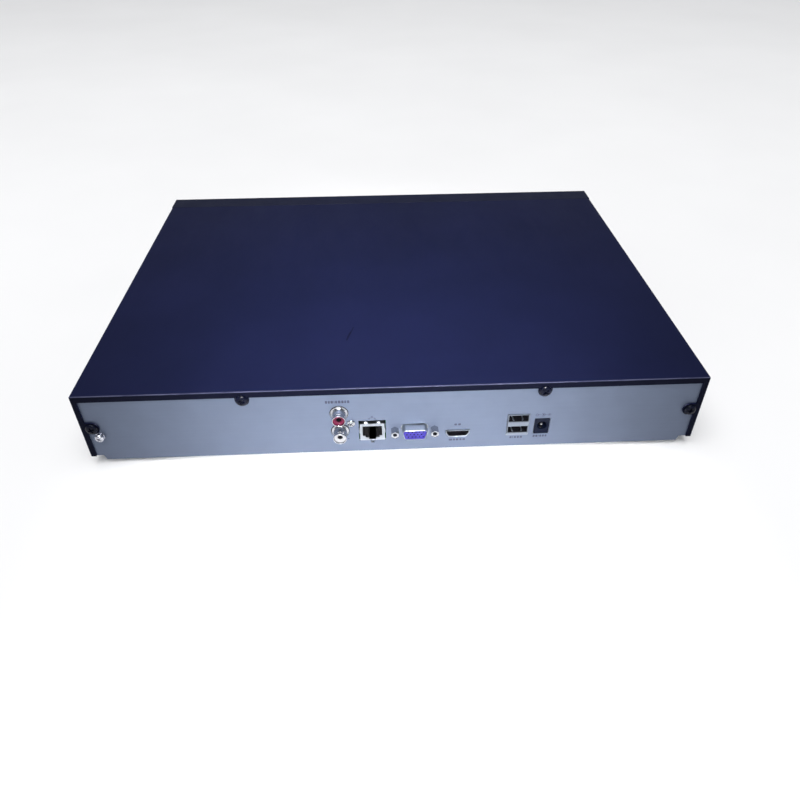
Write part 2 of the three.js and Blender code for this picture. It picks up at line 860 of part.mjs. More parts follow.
// Power harness: one plug on the board's header and a branch to each drive, under the data cables' arches.
function powerHarness() {
  const z0 = header.top + seatGap;
  const lane = socketRow - 7;
  const topPlug = upright(header.x, socketRow, 10, 5.6, z0, z0 + 8);
  const branches = driveX.map((centre) => {
    const x = centre + powerPlugX;
    const side = Math.sign(x - header.x);
    return join(
      drivePlug(x, plug.power),
      cable(
        [
          [header.x + side * 2, socketRow, z0 + 7],
          [header.x + side * 5, socketRow - 2.5, z0 + 14],
          [header.x + side * 14, lane, z0 + 10],
          [header.x + (x - header.x) * 0.6, lane, z0 + 2],
          [x - side * 10, lane - 1, board.top + 7],
          [x - side * 2, plugEnd + 8, plug.z + 3],
          [x, plugEnd + 4, plug.z],
          [x, plugEnd - 2, plug.z],
        ],
        2,
        2,
        26,
      ),
    );
  });
  return join(topPlug, branches);
}

const sideHeaderX = board.right - 7;
const fanHeaderY = boardRear - 46;
const frontHeaderY = boardRear - 70;

// A small plug standing on the board's right edge.
const sidePlug = (y, length) =>
  upright(sideHeaderX, y, 5, length, board.top + seatGap, board.top + 8);

// Lead from the fan, along the floor and up to the board.
function fanLead() {
  const start = fanFace - fan.thickness + 0.5;
  const run = cable(
    [
      [start - 1, fan.y - 12, fan.bottom + 3],
      [start - 5, fan.y - 12, fan.bottom + 1],
      [start - 16, fan.y - 10, traySheet + 2.8],
      [start - 55, fan.y - 2, traySheet + 2.4],
      [board.right + 26, fanHeaderY - 6, traySheet + 2.8],
      [board.right + 9, fanHeaderY, board.top - 1],
      [board.right - 2, fanHeaderY, board.top + 10.5],
      [sideHeaderX, fanHeaderY, board.top + 10],
      [sideHeaderX, fanHeaderY, board.top + 6],
    ],
    1.1,
    1.1,
    30,
  );
  return join(run, sidePlug(fanHeaderY, 7.5));
}

// Lead from the front board, through the tray's front wall, past the drives and up to the main board.
function frontLead() {
  const start = bezelFace + frontBoard.face + frontBoard.thickness + seatGap;
  const floorZ = traySheet + 2.8;
  const run = cable(
    [
      [leadSlot.x, start + 2, leadSlot.z + 2],
      [leadSlot.x, start + 7, leadSlot.z],
      [leadSlot.x, start + 16, leadSlot.z - 5],
      [leadSlot.x + 1, start + 34, floorZ],
      [leadSlot.x - 1, start + 110, floorZ],
      [leadSlot.x, frontHeaderY - 40, floorZ],
      [leadSlot.x - 8, frontHeaderY - 14, floorZ],
      [board.right + 14, frontHeaderY - 2, board.top - 3],
      [board.right + 4, frontHeaderY, board.top + 8],
      [sideHeaderX + 1, frontHeaderY, board.top + 12],
      [sideHeaderX, frontHeaderY, board.top + 6],
    ],
    1.5,
    1.5,
    44,
  );
  const frontPlug = block(leadSlot.x, leadSlot.z + 2, 12, 5, start, start + 2.4);
  return join(frontPlug, run, sidePlug(frontHeaderY, 12));
}

// ---------------------------------------------------------------- fan

// The fan's own frame has its axis on Z and its inlet face at z = 0.
function fanFrame() {
  const half = fan.size / 2;
  const t = fan.thickness;
  const ring = cut(
    box(-half, half, -half, half, 0, t),
    rodZ(0, 0, fan.bore, -1, t + 1, 36),
    [-1, 1].flatMap((a) =>
      [-1, 1].map((b) => rodZ(a * (half - 4), b * (half - 4), 1.8, -1, t + 1, COARSE)),
    ),
  );
  const struts = [0, 1, 2].map((i) =>
    box(0, fan.bore + 0.4, -1.2, 1.2, t - 1.4, t).rotate([0, 0, 30 + i * 120]),
  );
  const motorPlate = cut(join(rodZ(0, 0, 10.5, t - 1.4, t), struts), rodZ(0, 0, 1.3, t - 2, t + 1, COARSE));
  return join(ring, motorPlate);
}

function fanRotor() {
  const hub = rodZ(0, 0, 10, 0.8, fan.thickness - 1.9);
  const shaft = rodZ(0, 0, 1, 1, fan.thickness - 0.4, COARSE);
  const blade = box(9, fan.bore - 0.8, -0.5, 0.5, -4.2, 4.2).rotate([38, 0, 0]).translate([0, 0, 4.3]);
  const blades = Array.from({ length: fan.blades }, (_, i) => blade.rotate([0, 0, (i * 360) / fan.blades]));
  return join(hub, shaft, blades);
}

// ---------------------------------------------------------------- front

// The front frame has y = 0 on the bezel's face, growing towards the back.
function hookPlaces() {
  return [-hook.x, hook.x].flatMap((x) => [
    { x, z: hook.low + hook.thickness / 2, up: 1 },
    { x, z: hook.high + hook.thickness / 2, up: 1 },
  ]);
}

function frontBezel() {
  const c = bezelChamfer;
  const low = 2 * c;
  const section = plateX(
    [
      [0, low],
      [low, 0],
      [bezelDepth, 0],
      [bezelDepth, bodyHeight],
      [c, bodyHeight],
      [0, bodyHeight - c],
    ],
    -halfX,
    halfX,
  );
  const plan = plateZ(
    [
      [-halfX + c, 0],
      [halfX - c, 0],
      [halfX, c],
      [halfX, bezelDepth],
      [-halfX, bezelDepth],
      [-halfX, c],
    ],
    -1,
    bodyHeight + 1,
  );
  const w = bezelWall;
  const cavity = box(-halfX + w, halfX - w, bezelFront, bezelDepth + 1, w, bodyHeight - w);
  const shell = cut(section.intersect(plan), cavity);
  const wallBack = bezelDepth + bezelGap + traySheet; // inner face of the tray's front wall
  const hookEnd = wallBack + hook.past;
  const arms = hookPlaces().map(({ x, z, up }) =>
    join(
      block(x, z, hook.width, hook.thickness, bezelFront - 1, hookEnd),
      block(x, z + up * 0.7, hook.width, hook.thickness, wallBack + fitGap, hookEnd),
    ),
  );
  const bosses = frontBoardHoles.map(([x, z]) =>
    rodY(x, z, bossRadius, bezelFront - 1, frontBoard.face - seatGap, COARSE),
  );
  const lensRecess = block(lens.x, lens.z, lens.width, lens.height, -1, lens.thickness + seatGap);
  const window = block(lens.x, lens.z, lens.width - 4, lens.height - 4, -1, bezelFront + 1);
  const buttonHole = rodY(button.x, button.z, button.radius + fitGap, -1, bezelFront + 1, 32);
  const usbHole = block(frontUsb.x, frontUsb.z, 13.2 + 2 * fitGap, 5.8 + 2 * fitGap, -1, bezelFront + 1);
  const groove = box(-halfX + 14, lens.x - lens.width / 2 - 12, -1, 0.7, lens.z - 0.8, lens.z + 0.8);
  return cut(
    join(shell, arms, bosses),
    lensRecess,
    window,
    buttonHole,
    usbHole,
    groove,
    frontBoardHoles.map(([x, z]) => rodY(x, z, 1.1, frontBoard.face - 8, frontBoard.face + 1, COARSE)),
  );
}

const frontBoardHoles = [
  [frontBoard.x - frontBoard.width / 2 + 5, frontBoard.z + frontBoard.height / 2 - 4],
  [frontBoard.x + frontBoard.width / 2 - 5, frontBoard.z - frontBoard.height / 2 + 4],
];

const frontLens = () =>
  block(
    lens.x,
    lens.z,
    lens.width - 2 * fitGap,
    lens.height - 2 * fitGap,
    seatGap,
    lens.thickness,
  );

// Three light guides on one bar, between the lamps on the board and the lens.
function lightBar() {
  const back = frontBoard.face - seatGap;
  const middle = lens.x - 10;
  const guides = [-10, 0, 10].map((dx) => block(middle + dx, lens.z, 3, 3, lens.thickness + 0.3, back));
  return join(guides, block(middle, lens.z, 23, 2, back - 5, back - 3));
}

function frontBoardPlate() {
  const { x, z, width: w, height: h, thickness, face } = frontBoard;
  return cut(
    block(x, z, w, h, face, face + thickness),
    frontBoardHoles.map(([hx, hz]) => rodY(hx, hz, 1.6, face - 1, face + thickness + 1, COARSE)),
  );
}

function frontUsbSocket() {
  const { x, z } = frontUsb;
  const back = frontBoard.face - seatGap;
  const shell = cut(block(x, z, 13.2, 5.8, 0.8, back), block(x, z, 12.4, 5, 0, back - 2));
  return join(shell, block(x, z + 0.9, 11, 1.8, 4, back - 1));
}

const switchTip = 9.1; // where the button's stem meets the plunger

function powerButton() {
  const { x, z, radius, stemRadius, recess } = button;
  return join(
    rodY(x, z, radius, recess, bezelFront + 1, 32),
    rodY(x, z, radius + 1.2, bezelFront + 0.4, bezelFront + 1.6, 32),
    rodY(x, z, stemRadius, bezelFront + 1, switchTip - seatGap, COARSE),
  );
}

const switchFace = 10.9;

function switchBody() {
  const { x, z } = button;
  const back = frontBoard.face - seatGap;
  return cut(block(x, z, 7, 7, switchFace, back), rodY(x, z, 1.9, switchFace - 1, back - 0.8, COARSE));
}

const switchPlunger = () =>
  rodY(button.x, button.z, 1.6, switchTip, frontBoard.face - seatGap - 0.8 - button.travel - 0.3, COARSE);

// ---------------------------------------------------------------- assembly

const recorder = new THREE.Group();
const body = new THREE.Group();
body.position.set(0, -(bezelFace + audio.reach) / 2, footHeight);
recorder.add(body);

function place(parent, name, shape, finish, x = 0, y = 0, z = 0) {
  const { vertProperties, triVerts } = shape.getMesh();
  const geometry = new THREE.BufferGeometry();
  geometry.setAttribute("position", new THREE.BufferAttribute(new Float32Array(vertProperties), 3));
  geometry.setIndex(new THREE.BufferAttribute(new Uint32Array(triVerts), 1));
  const mesh = new THREE.Mesh(geometry, finish);
  mesh.name = name;
  mesh.position.set(x, y, z);
  parent.add(mesh);
}

function subGroup(x, y, z) {
  const group = new THREE.Group();
  group.position.set(x, y, z);
  body.add(group);
  return group;
}

// Case
place(body, "chassis_tray", chassisTray(), paint.tray);
place(body, "top_cover", topCover(), paint.cover);
for (const { name, x, z } of coverScrewPlaces) {
  const screw = panScrew(screwHeadRadius, screwHeadHeight, screwShankRadius, screwShankLength);
  place(body, name, screw, paint.screwBlack, x, lipFace + seatGap / 2, z);
}
const feet = { x: floorHalf - footInset, front: coverFront + footFromFront, rear: -footFromRear };
for (const [row, y] of [["front", feet.front], ["rear", feet.rear]]) {
  for (const [side, x] of [["left", feet.x], ["right", -feet.x]]) {
    place(body, `foot_${row}_${side}`, foot(), paint.rubber, x, y, 0);
  }
}

// Front
const front = subGroup(0, bezelFace, 0);
place(front, "front_bezel", frontBezel(), paint.bezel);
place(front, "front_lens", frontLens(), paint.lens);
place(front, "status_light_bar", lightBar(), paint.plasticClear);
place(front, "front_board", frontBoardPlate(), paint.boardGreen);
place(front, "front_usb_socket", frontUsbSocket(), paint.tin);
place(front, "power_button", powerButton(), paint.bezel);
place(front, "power_switch", switchBody(), paint.plasticBlack);
place(front, "switch_plunger", switchPlunger(), paint.plasticWhite);

// Main board
place(body, "main_board", mainBoard(), paint.boardGreen);
place(body, "processor", processorChip(), paint.chip);
place(body, "processor_heatsink", processorHeatsink(), paint.anodised);
place(body, "coin_cell", coinCell(), paint.screwBright);
place(body, "coin_cell_holder", coinCellHolder(), paint.plasticBlack);
place(body, "power_header", powerHeader(), paint.plasticWhite);
place(body, "network_transformer", networkTransformer(), paint.chip);
place(body, "buzzer", buzzer(), paint.plasticBlack);

// Drives, numbered from the right as seen from behind
driveX.forEach((x, i) => {
  const bay = subGroup(x, driveRear, driveBottom);
  place(bay, `drive_${i + 1}_base`, driveBase(), paint.castAluminium);
  place(bay, `drive_${i + 1}_lid`, driveLid(), paint.lidSteel);
  place(body, `data_socket_${i + 1}`, dataSocket(x + dataPlugX), paint.plasticBlack);
  place(body, `data_cable_${i + 1}`, dataCable(x), paint.cableRed);
});
place(body, "drive_power_harness", powerHarness(), paint.cableBlack);
place(body, "front_lead", frontLead(), paint.cableBlack);

// Fan, with its outlet against the bracket on the tray's side
const fanGroup = subGroup(fanFace - fan.thickness, fan.y, fanZ);
fanGroup.rotation.y = Math.PI / 2;
place(fanGroup, "fan_frame", fanFrame(), paint.plasticBlack);
place(fanGroup, "fan_rotor", fanRotor(), paint.plasticBlack);
place(body, "fan_lead", fanLead(), paint.cableBlack);

// Sockets
place(body, "audio_housing", audioHousing(), paint.plasticBlack);
const sleeves = [
  { name: "red", z: audio.high, finish: paint.plasticRed },
  { name: "white", z: audio.low, finish: paint.plasticWhite },
];
for (const { name, z, finish } of sleeves) {
  place(body, `audio_sleeve_${name}`, audioSleeve(), paint.nickel, -audio.u, 0, z);
  place(body, `audio_insert_${name}`, audioInsert(), finish, -audio.u, 0, z);
}
const housingScrew = panScrew(2.6, 1.6, screwShankRadius - 0.1, 5);
place(body, "audio_screw", housingScrew, paint.screwBright, -audioScrew.u, seatGap, audioScrew.z);
place(body, "lan_shield", lanShield(), paint.tin, -lan.u, 0, 0);
place(body, "lan_insert", lanInsert(), paint.plasticBlack, -lan.u, 0, 0);
place(body, "vga_shell", vgaShell(), paint.tin, -vga.u, 0, vga.z);
place(body, "vga_insert", vgaInsert(), paint.plasticBlue, -vga.u, 0, vga.z);
place(body, "vga_post_left", vgaPost(), paint.nickel, -vga.u + vga.postPitch / 2, 0, vga.z);
place(body, "vga_post_right", vgaPost(), paint.nickel, -vga.u - vga.postPitch / 2, 0, vga.z);
place(body, "digital_video_shell", videoShell(), paint.tin, -video.u, 0, 0);
place(body, "digital_video_insert", videoInsert(), paint.plasticBlack, -video.u, 0, 0);
place(body, "usb_shell", usbShell(), paint.tin, -usb.u, 0, 0);
place(body, "usb_tongue_upper", usbTongue(), paint.plasticBlack, -usb.u, 0, usb.high);
place(body, "usb_tongue_lower", usbTongue(), paint.plasticBlack, -usb.u, 0, usb.low);
place(body, "dc_socket", dcBody(), paint.plasticBlack, -dc.u, 0, 0);
place(body, "dc_pin", dcPin(), paint.nickel, -dc.u, 0, 0);
place(body, "ground_screw", groundScrew(), paint.screwBright, groundX, 0, ground.z);

export default recorder;
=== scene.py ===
"""The looks of a two-drive network video recorder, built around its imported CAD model.

Shapes are built in millimetres and scaled to metres when they become objects. The socket panel faces +Y.
"""

import math
import random

import bmesh
import bpy
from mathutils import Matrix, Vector


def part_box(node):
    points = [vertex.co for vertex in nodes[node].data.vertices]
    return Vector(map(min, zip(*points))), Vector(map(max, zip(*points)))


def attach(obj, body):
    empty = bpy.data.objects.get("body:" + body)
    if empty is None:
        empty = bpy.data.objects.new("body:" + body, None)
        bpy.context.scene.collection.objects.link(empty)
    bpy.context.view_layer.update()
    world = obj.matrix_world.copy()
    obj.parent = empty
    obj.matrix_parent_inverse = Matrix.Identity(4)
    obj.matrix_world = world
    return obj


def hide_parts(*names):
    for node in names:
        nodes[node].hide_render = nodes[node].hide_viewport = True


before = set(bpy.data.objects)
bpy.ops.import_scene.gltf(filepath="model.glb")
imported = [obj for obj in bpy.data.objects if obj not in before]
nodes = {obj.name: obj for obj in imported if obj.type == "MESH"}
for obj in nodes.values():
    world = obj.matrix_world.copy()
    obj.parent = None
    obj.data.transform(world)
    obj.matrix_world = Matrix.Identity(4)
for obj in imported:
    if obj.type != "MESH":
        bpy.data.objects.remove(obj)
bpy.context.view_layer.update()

MM = 0.001
ROOT = "chassis"
COVER = "cover"

# ---------------------------------------------------------------- places, from the CAD model


def span(node):
    """The lowest and highest corner of a CAD node, in millimetres."""
    low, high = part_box(node)
    return Vector(low) / MM, Vector(high) / MM


def middle(node):
    low, high = span(node)
    return (low + high) / 2


def seen_along(axis, low, high):
    """The middle of a box, looked at along an axis."""
    a, b = {"X": (1, 2), "Y": (0, 2), "Z": (0, 1)}[axis]
    return (low[a] + high[a]) / 2, (low[b] + high[b]) / 2


TRAY_LOW, TRAY_HIGH = span("chassis_tray")
PANEL_Y = TRAY_HIGH.y  # outer face of the socket panel
PANEL_BOTTOM = TRAY_LOW.z
BOARD_LOW, BOARD_HIGH = span("main_board")
BOARD_TOP = BOARD_HIGH.z

# ---------------------------------------------------------------- outlines


def circle(cx, cz, radius, sides=48, start=0.0, turn=360.0):
    """Points of a circle, or of an arc if turn is under 360 degrees."""
    count = sides if turn == 360.0 else sides + 1
    step = math.radians(turn) / sides
    first = math.radians(start)
    return [
        (cx + radius * math.cos(first + i * step), cz + radius * math.sin(first + i * step))
        for i in range(count)
    ]


def rounded(points, radius, steps=4):
    """A polygon with each corner replaced by an arc."""
    result = []
    count = len(points)
    for i, point in enumerate(points):
        corner = Vector(point)
        to_last = (Vector(points[i - 1]) - corner).normalized()
        to_next = (Vector(points[(i + 1) % count]) - corner).normalized()
        angle = to_last.angle(to_next)
        reach = radius / math.tan(angle / 2)
        centre = corner + (to_last + to_next).normalized() * (radius / math.sin(angle / 2))
        first = corner + to_last * reach - centre
        last = corner + to_next * reach - centre
        sweep = first.angle_signed(last)
        for k in range(steps + 1):
            turned_by = -sweep * k / steps
            c, s = math.cos(turned_by), math.sin(turned_by)
            result.append((centre.x + first.x * c - first.y * s, centre.y + first.x * s + first.y * c))
    return result


def rectangle(cx, cz, width, height, radius=0.0, steps=4):
    w, h = width / 2, height / 2
    points = [(cx - w, cz - h), (cx + w, cz - h), (cx + w, cz + h), (cx - w, cz + h)]
    return rounded(points, radius, steps) if radius else points


def mirrored(points):
    return points + [(-x, z) for x, z in reversed(points)]


def shifted(points, dx, dz):
    return [(x + dx, z + dz) for x, z in points]


# ---------------------------------------------------------------- solids

PLACE = {
    "X": lambda a, b, d: (d, a, b),
    "Y": lambda a, b, d: (a, d, b),
    "Z": lambda a, b, d: (a, b, d),
}


def close_with(bm, loops):
    """Faces over a ring of vertices, with holes where there are more rings."""
    if len(loops) == 1:
        bm.faces.new(loops[0])
        return
    edges = []
    for loop in loops:
        for i, vert in enumerate(loop):
            other = loop[(i + 1) % len(loop)]
            edges.append(bm.edges.get((vert, other)) or bm.edges.new((vert, other)))
    bmesh.ops.triangle_fill(bm, use_beauty=True, use_dissolve=False, edges=edges)


def round_edges(bm, edges, size, steps):
    """Rounds edges off, each once and in the order given."""
    bmesh.ops.bevel(
        bm,
        geom=list(dict.fromkeys(edges)),
        offset=size,
        segments=steps,
        profile=0.5,
        affect="EDGES",
        clamp_overlap=True,
    )


def slab(bm, axis, outline, low, high, holes=(), edge=0.0, steps=2):
    """An outline given thickness along an axis, with holes through it and its edges rounded."""
    place = PLACE[axis]
    ends = []
    for depth in (low, high):
        ends.append([[bm.verts.new(place(a, b, depth)) for a, b in loop] for loop in (outline, *holes)])
    for near, far in zip(*ends):
        count = len(near)
        for i in range(count):
            j = (i + 1) % count
            bm.faces.new((near[i], near[j], far[j], far[i]))
    for end in ends:
        close_with(bm, end)
    if edge:
        loops = [loop for end in ends for loop in end]
        rims = [bm.edges.get((loop[i - 1], loop[i])) for loop in loops for i in range(len(loop))]
        round_edges(bm, rims, edge, steps)


def block(bm, low, high, edge=0.15, steps=2):
    """A box with all its edges rounded."""
    corners = [(x, y, z) for x in (low[0], high[0]) for y in (low[1], high[1]) for z in (low[2], high[2])]
    verts = [bm.verts.new(corner) for corner in corners]
    quads = ((0, 1, 3, 2), (4, 6, 7, 5), (0, 4, 5, 1), (2, 3, 7, 6), (0, 2, 6, 4), (1, 5, 7, 3))
    faces = [bm.faces.new([verts[i] for i in quad]) for quad in quads]
    if edge:
        round_edges(bm, [e for face in faces for e in face.edges], edge, steps)


def block_at(bm, centre, size, edge=0.15, steps=2):
    half = Vector(size) / 2
    block(bm, Vector(centre) - half, Vector(centre) + half, edge, steps)


def turned(bm, axis, centre, profile, sides=48):
    """A profile of (radius, distance along the axis) turned round the axis through centre."""
    place = PLACE[axis]
    closed = profile[0] == profile[-1]
    rows = profile[:-1] if closed else profile
    rings = []
    for radius, depth in rows:
        if radius < 1e-6:
            rings.append([bm.verts.new(place(*centre, depth))])
            continue
        rings.append([bm.verts.new(place(a, b, depth)) for a, b in circle(*centre, radius, sides)])
    pairs = list(zip(rings, rings[1:])) + ([(rings[-1], rings[0])] if closed else [])
    for one, two in pairs:
        for i in range(sides):
            j = (i + 1) % sides
            corners = [one[i % len(one)], one[j % len(one)], two[j % len(two)], two[i % len(two)]]
            unique = list(dict.fromkeys(corners))
            if len(unique) > 2:
                bm.faces.new(unique)


def smooth_path(points, steps=8):
    """A curve through points."""
    points = [Vector(p) for p in points]
    ends = [2 * points[0] - points[1], *points, 2 * points[-1] - points[-2]]
    path = []
    for i in range(1, len(ends) - 2):
        a, b, c, d = ends[i - 1 : i + 3]
        for k in range(steps):
            t = k / steps
            bend = (2 * a - 5 * b + 4 * c - d) * t * t
            twist = (3 * b - a - 3 * c + d) * t**3
            path.append(0.5 * (2 * b + (c - a) * t + bend + twist))
    path.append(points[-1])
    return path


def tube(bm, path, half_width, half_height=None, sides=12, offset=(0.0, 0.0), across=(1, 0, 0)):
    """A round or oval tube along a path, or beside it by an offset across and along its own up."""
    half_height = half_height or half_width
    rings = []
    side = Vector(across)
    for i, point in enumerate(path):
        ahead = (path[min(i + 1, len(path) - 1)] - path[max(i - 1, 0)]).normalized()
        side = (side - ahead * side.dot(ahead)).normalized()
        up = ahead.cross(side)
        centre = point + side * offset[0] + up * offset[1]
        ring = [side * (a * half_width) + up * (b * half_height) for a, b in circle(0, 0, 1, sides)]
        rings.append([bm.verts.new(centre + place) for place in ring])
    for one, two in zip(rings, rings[1:]):
        for i in range(sides):
            j = (i + 1) % sides
            bm.faces.new((one[i], one[j], two[j], two[i]))
    bm.faces.new(rings[0])
    bm.faces.new(rings[-1])


# ---------------------------------------------------------------- objects


def to_object(name, bm, sharp=38):
    bmesh.ops.remove_doubles(bm, verts=bm.verts, dist=0.002)
    bmesh.ops.dissolve_degenerate(bm, edges=bm.edges, dist=0.001)
    bmesh.ops.recalc_face_normals(bm, faces=bm.faces)
    bmesh.ops.scale(bm, vec=(MM, MM, MM), verts=bm.verts)
    mesh = bpy.data.meshes.new(name)
    bm.to_mesh(mesh)
    bm.free()
    for polygon in mesh.polygons:
        polygon.use_smooth = True
    mesh.set_sharp_from_angle(angle=math.radians(sharp))
    obj = bpy.data.objects.new(name, mesh)
    bpy.context.collection.objects.link(obj)
    return obj


def carve(obj, cutter):
    """Takes the cutter's solids out of an object."""
    tool = to_object("cutter", cutter)
    change = obj.modifiers.new("carve", "BOOLEAN")
    change.object = tool
    change.operation = "DIFFERENCE"
    change.solver = "EXACT"
    change.use_self = True
    evaluated = obj.evaluated_get(bpy.context.evaluated_depsgraph_get())
    mesh = bpy.data.meshes.new_from_object(evaluated)
    obj.modifiers.clear()
    obj.data = mesh
    mesh.set_sharp_from_angle(angle=math.radians(38))
    bpy.data.objects.remove(tool)


def add_piece(obj, look, body=ROOT, stands_for=()):
    """Gives an object its material and body, and hides the CAD nodes it stands for."""
    obj.data.materials.clear()
    obj.data.materials.append(look)
    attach(obj, body)
    if stands_for:
        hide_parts(*stands_for)
    return obj


def piece(name, bm, look, body=ROOT, stands_for=(), sharp=38):
    return add_piece(to_object(name, bm, sharp), look, body, stands_for)


def dress(node, look, edge=0.0):
    """A CAD node that stays: its edges are rounded and it gets a material."""
    obj = nodes[node]
    obj.data.materials.clear()
    obj.data.materials.append(look)
    if not edge:
        return
    weld = obj.modifiers.new("weld", "WELD")
    weld.merge_threshold = 0.002 * MM
    flat = obj.modifiers.new("flat", "DECIMATE")
    flat.decimate_type = "DISSOLVE"
    flat.angle_limit = math.radians(0.5)
    round_off = obj.modifiers.new("round", "BEVEL")
    round_off.width = edge * MM
    round_off.segments = 2
    round_off.limit_method = "ANGLE"
    round_off.angle_limit = math.radians(35)
    round_off.miter_outer = "MITER_ARC"


# ---------------------------------------------------------------- materials


class Nodes:
    """A material's node tree, with a short way to add and join nodes."""

    def __init__(self, name):
        self.material = bpy.data.materials.new(name)
        self.material.use_nodes = True
        self.tree = self.material.node_tree
        self.shader = self.tree.nodes["Principled BSDF"]
        self.place = self.add("ShaderNodeTexCoord").outputs["Object"]

    def add(self, kind, **settings):
        node = self.tree.nodes.new(kind)
        for key, value in settings.items():
            setattr(node, key, value)
        return node

    def join(self, output, socket):
        self.tree.links.new(output, socket)

    def stretched(self, scale):
        mapping = self.add("ShaderNodeMapping")
        mapping.inputs["Scale"].default_value = scale
        self.join(self.place, mapping.inputs["Vector"])
        return mapping.outputs["Vector"]

    def noise(self, size_mm, detail=3.0, place=None, rough=0.55):
        """Noise whose features are about size_mm across."""
        node = self.add("ShaderNodeTexNoise")
        node.inputs["Scale"].default_value = 1 / (size_mm * MM)
        node.inputs["Detail"].default_value = detail
        node.inputs["Roughness"].default_value = rough
        self.join(place or self.place, node.inputs["Vector"])
        return node.outputs["Fac"]

    def between(self, value, low, high, start=0.3, stop=0.7):
        """A value stretched from start..stop to low..high."""
        node = self.add("ShaderNodeMapRange")
        node.inputs["From Min"].default_value = start
        node.inputs["From Max"].default_value = stop
        node.inputs["To Min"].default_value = low
        node.inputs["To Max"].default_value = high
        self.join(value, node.inputs["Value"])
        return node.outputs["Result"]

    def calculate(self, operation, one, two):
        node = self.add("ShaderNodeMath", operation=operation)
        for value, socket in ((one, node.inputs[0]), (two, node.inputs[1])):
            if isinstance(value, (int, float)):
                socket.default_value = value
            else:
                self.join(value, socket)
        return node.outputs["Value"]

    def mix(self, factor, one, two):
        node = self.add("ShaderNodeMix", data_type="RGBA")
        for value, socket in ((factor, node.inputs[0]), (one, node.inputs[6]), (two, node.inputs[7])):
            if isinstance(value, tuple):
                socket.default_value = (*value, 1.0)
            elif isinstance(value, float):
                socket.default_value = value
            else:
                self.join(value, socket)
        return node.outputs[2]

    def bump(self, height, depth_mm, strength=1.0, after=None):
        node = self.add("ShaderNodeBump")
        node.inputs["Distance"].default_value = depth_mm * MM
        node.inputs["Strength"].default_value = strength
        self.join(height, node.inputs["Height"])
        if after:
            self.join(after, node.inputs["Normal"])
        return node.outputs["Normal"]

    def base(self, metal, specular=0.5, ior=1.5):
        self.shader.inputs["Metallic"].default_value = metal
        self.shader.inputs["Specular IOR Level"].default_value = specular
        self.shader.inputs["IOR"].default_value = ior

    def finish(self, color, rough, normal=None):
        self.join(color, self.shader.inputs["Base Color"])
        self.join(rough, self.shader.inputs["Roughness"])
        if normal:
            self.join(normal, self.shader.inputs["Normal"])
        return self.material


def tinted(color, by):
    return tuple(min(1.0, c * by) for c in color)


def surface(
    name, color, rough, metal=0.0, vary=0.1, patch=30.0, grain=0.25, depth=0.01, spread=0.06, specular=0.5
):
    """A moulded, cast or plated surface: patches of tone, fine grain in height and uneven gloss."""
    n = Nodes(name)
    n.base(metal, specular)
    tone = n.between(n.noise(patch), 0.0, 1.0)
    color_out = n.mix(tone, tinted(color, 1 - vary), tinted(color, 1 + vary))
    fine = n.noise(grain, detail=2.0)
    gloss = n.between(n.noise(patch * 0.3), rough - spread, rough + spread)
    return n.finish(color_out, gloss, n.bump(fine, depth))


def brushed(name, color, rough, along=(1.0, 60.0, 60.0), metal=1.0, vary=0.08, depth=0.004, specular=0.5):
    """Sheet metal with fine lines along one axis and faint smears."""
    n = Nodes(name)
    n.base(metal, specular)
    lines = n.noise(14.0, detail=5.0, place=n.stretched(along), rough=0.7)
    smear = n.noise(45.0, detail=4.0)
    mixed = n.calculate("ADD", n.calculate("MULTIPLY", lines, 0.5), n.calculate("MULTIPLY", smear, 0.5))
    tone = n.between(mixed, 0, 1)
    color_out = n.mix(tone, tinted(color, 1 - vary), tinted(color, 1 + vary))
    gloss = n.between(smear, rough - 0.05, rough + 0.07)
    return n.finish(color_out, gloss, n.bump(lines, depth))


def cover_paint():
    """Dark powder coat with fine orange peel, with painted shade that darkens the lips and a painted
    highlight, uneven in strength, that lightens the folds.
    """
    n = Nodes("cover_powder_coat")
    n.base(0.0, specular=0.1, ior=1.4)
    patch = n.between(n.noise(90.0, detail=4.0), 0.0, 1.0)
    color = n.mix(patch, (0.0055, 0.0075, 0.029), (0.0075, 0.0098, 0.038))
    facing = n.add("ShaderNodeVectorMath", operation="ABSOLUTE")
    n.join(n.add("ShaderNodeTexCoord").outputs["Normal"], facing.inputs[0])
    parts = n.add("ShaderNodeSeparateXYZ")
    n.join(facing.outputs["Vector"], parts.inputs["Vector"])
    x, y, z = parts.outputs
    flatness = n.calculate("MAXIMUM", n.calculate("MAXIMUM", x, y), z)
    # Painted highlight along the folds, uneven in strength.
    fold = n.between(flatness, 1.0, 0.0, 0.74, 0.97)
    fold_highlight = n.calculate("MULTIPLY", fold, n.between(n.noise(12.0, detail=5.0), 0.35, 1.0))
    # Painted shade: faces that face along y, the lips, are darkened; they are also made rougher.
    lips = n.between(y, 0.0, 1.0, 0.85, 0.98)
    color = n.mix(n.calculate("MULTIPLY", lips, 0.85), color, (0.0012, 0.0018, 0.006))
    color = n.mix(fold_highlight, color, (0.085, 0.09, 0.15))
    peel = n.noise(0.7, detail=2.0)
    grit = n.noise(0.22, detail=1.0)
    smear = n.noise(38.0, detail=6.0, place=n.stretched((1.0, 0.35, 1.0)), rough=0.7)
    gloss = n.calculate("MAXIMUM", n.between(smear, 0.38, 0.52), n.calculate("MULTIPLY", lips, 0.8))
    normal = n.bump(grit, 0.012, 0.6, n.bump(peel, 0.02, 0.6))
    return n.finish(color, gloss, normal)


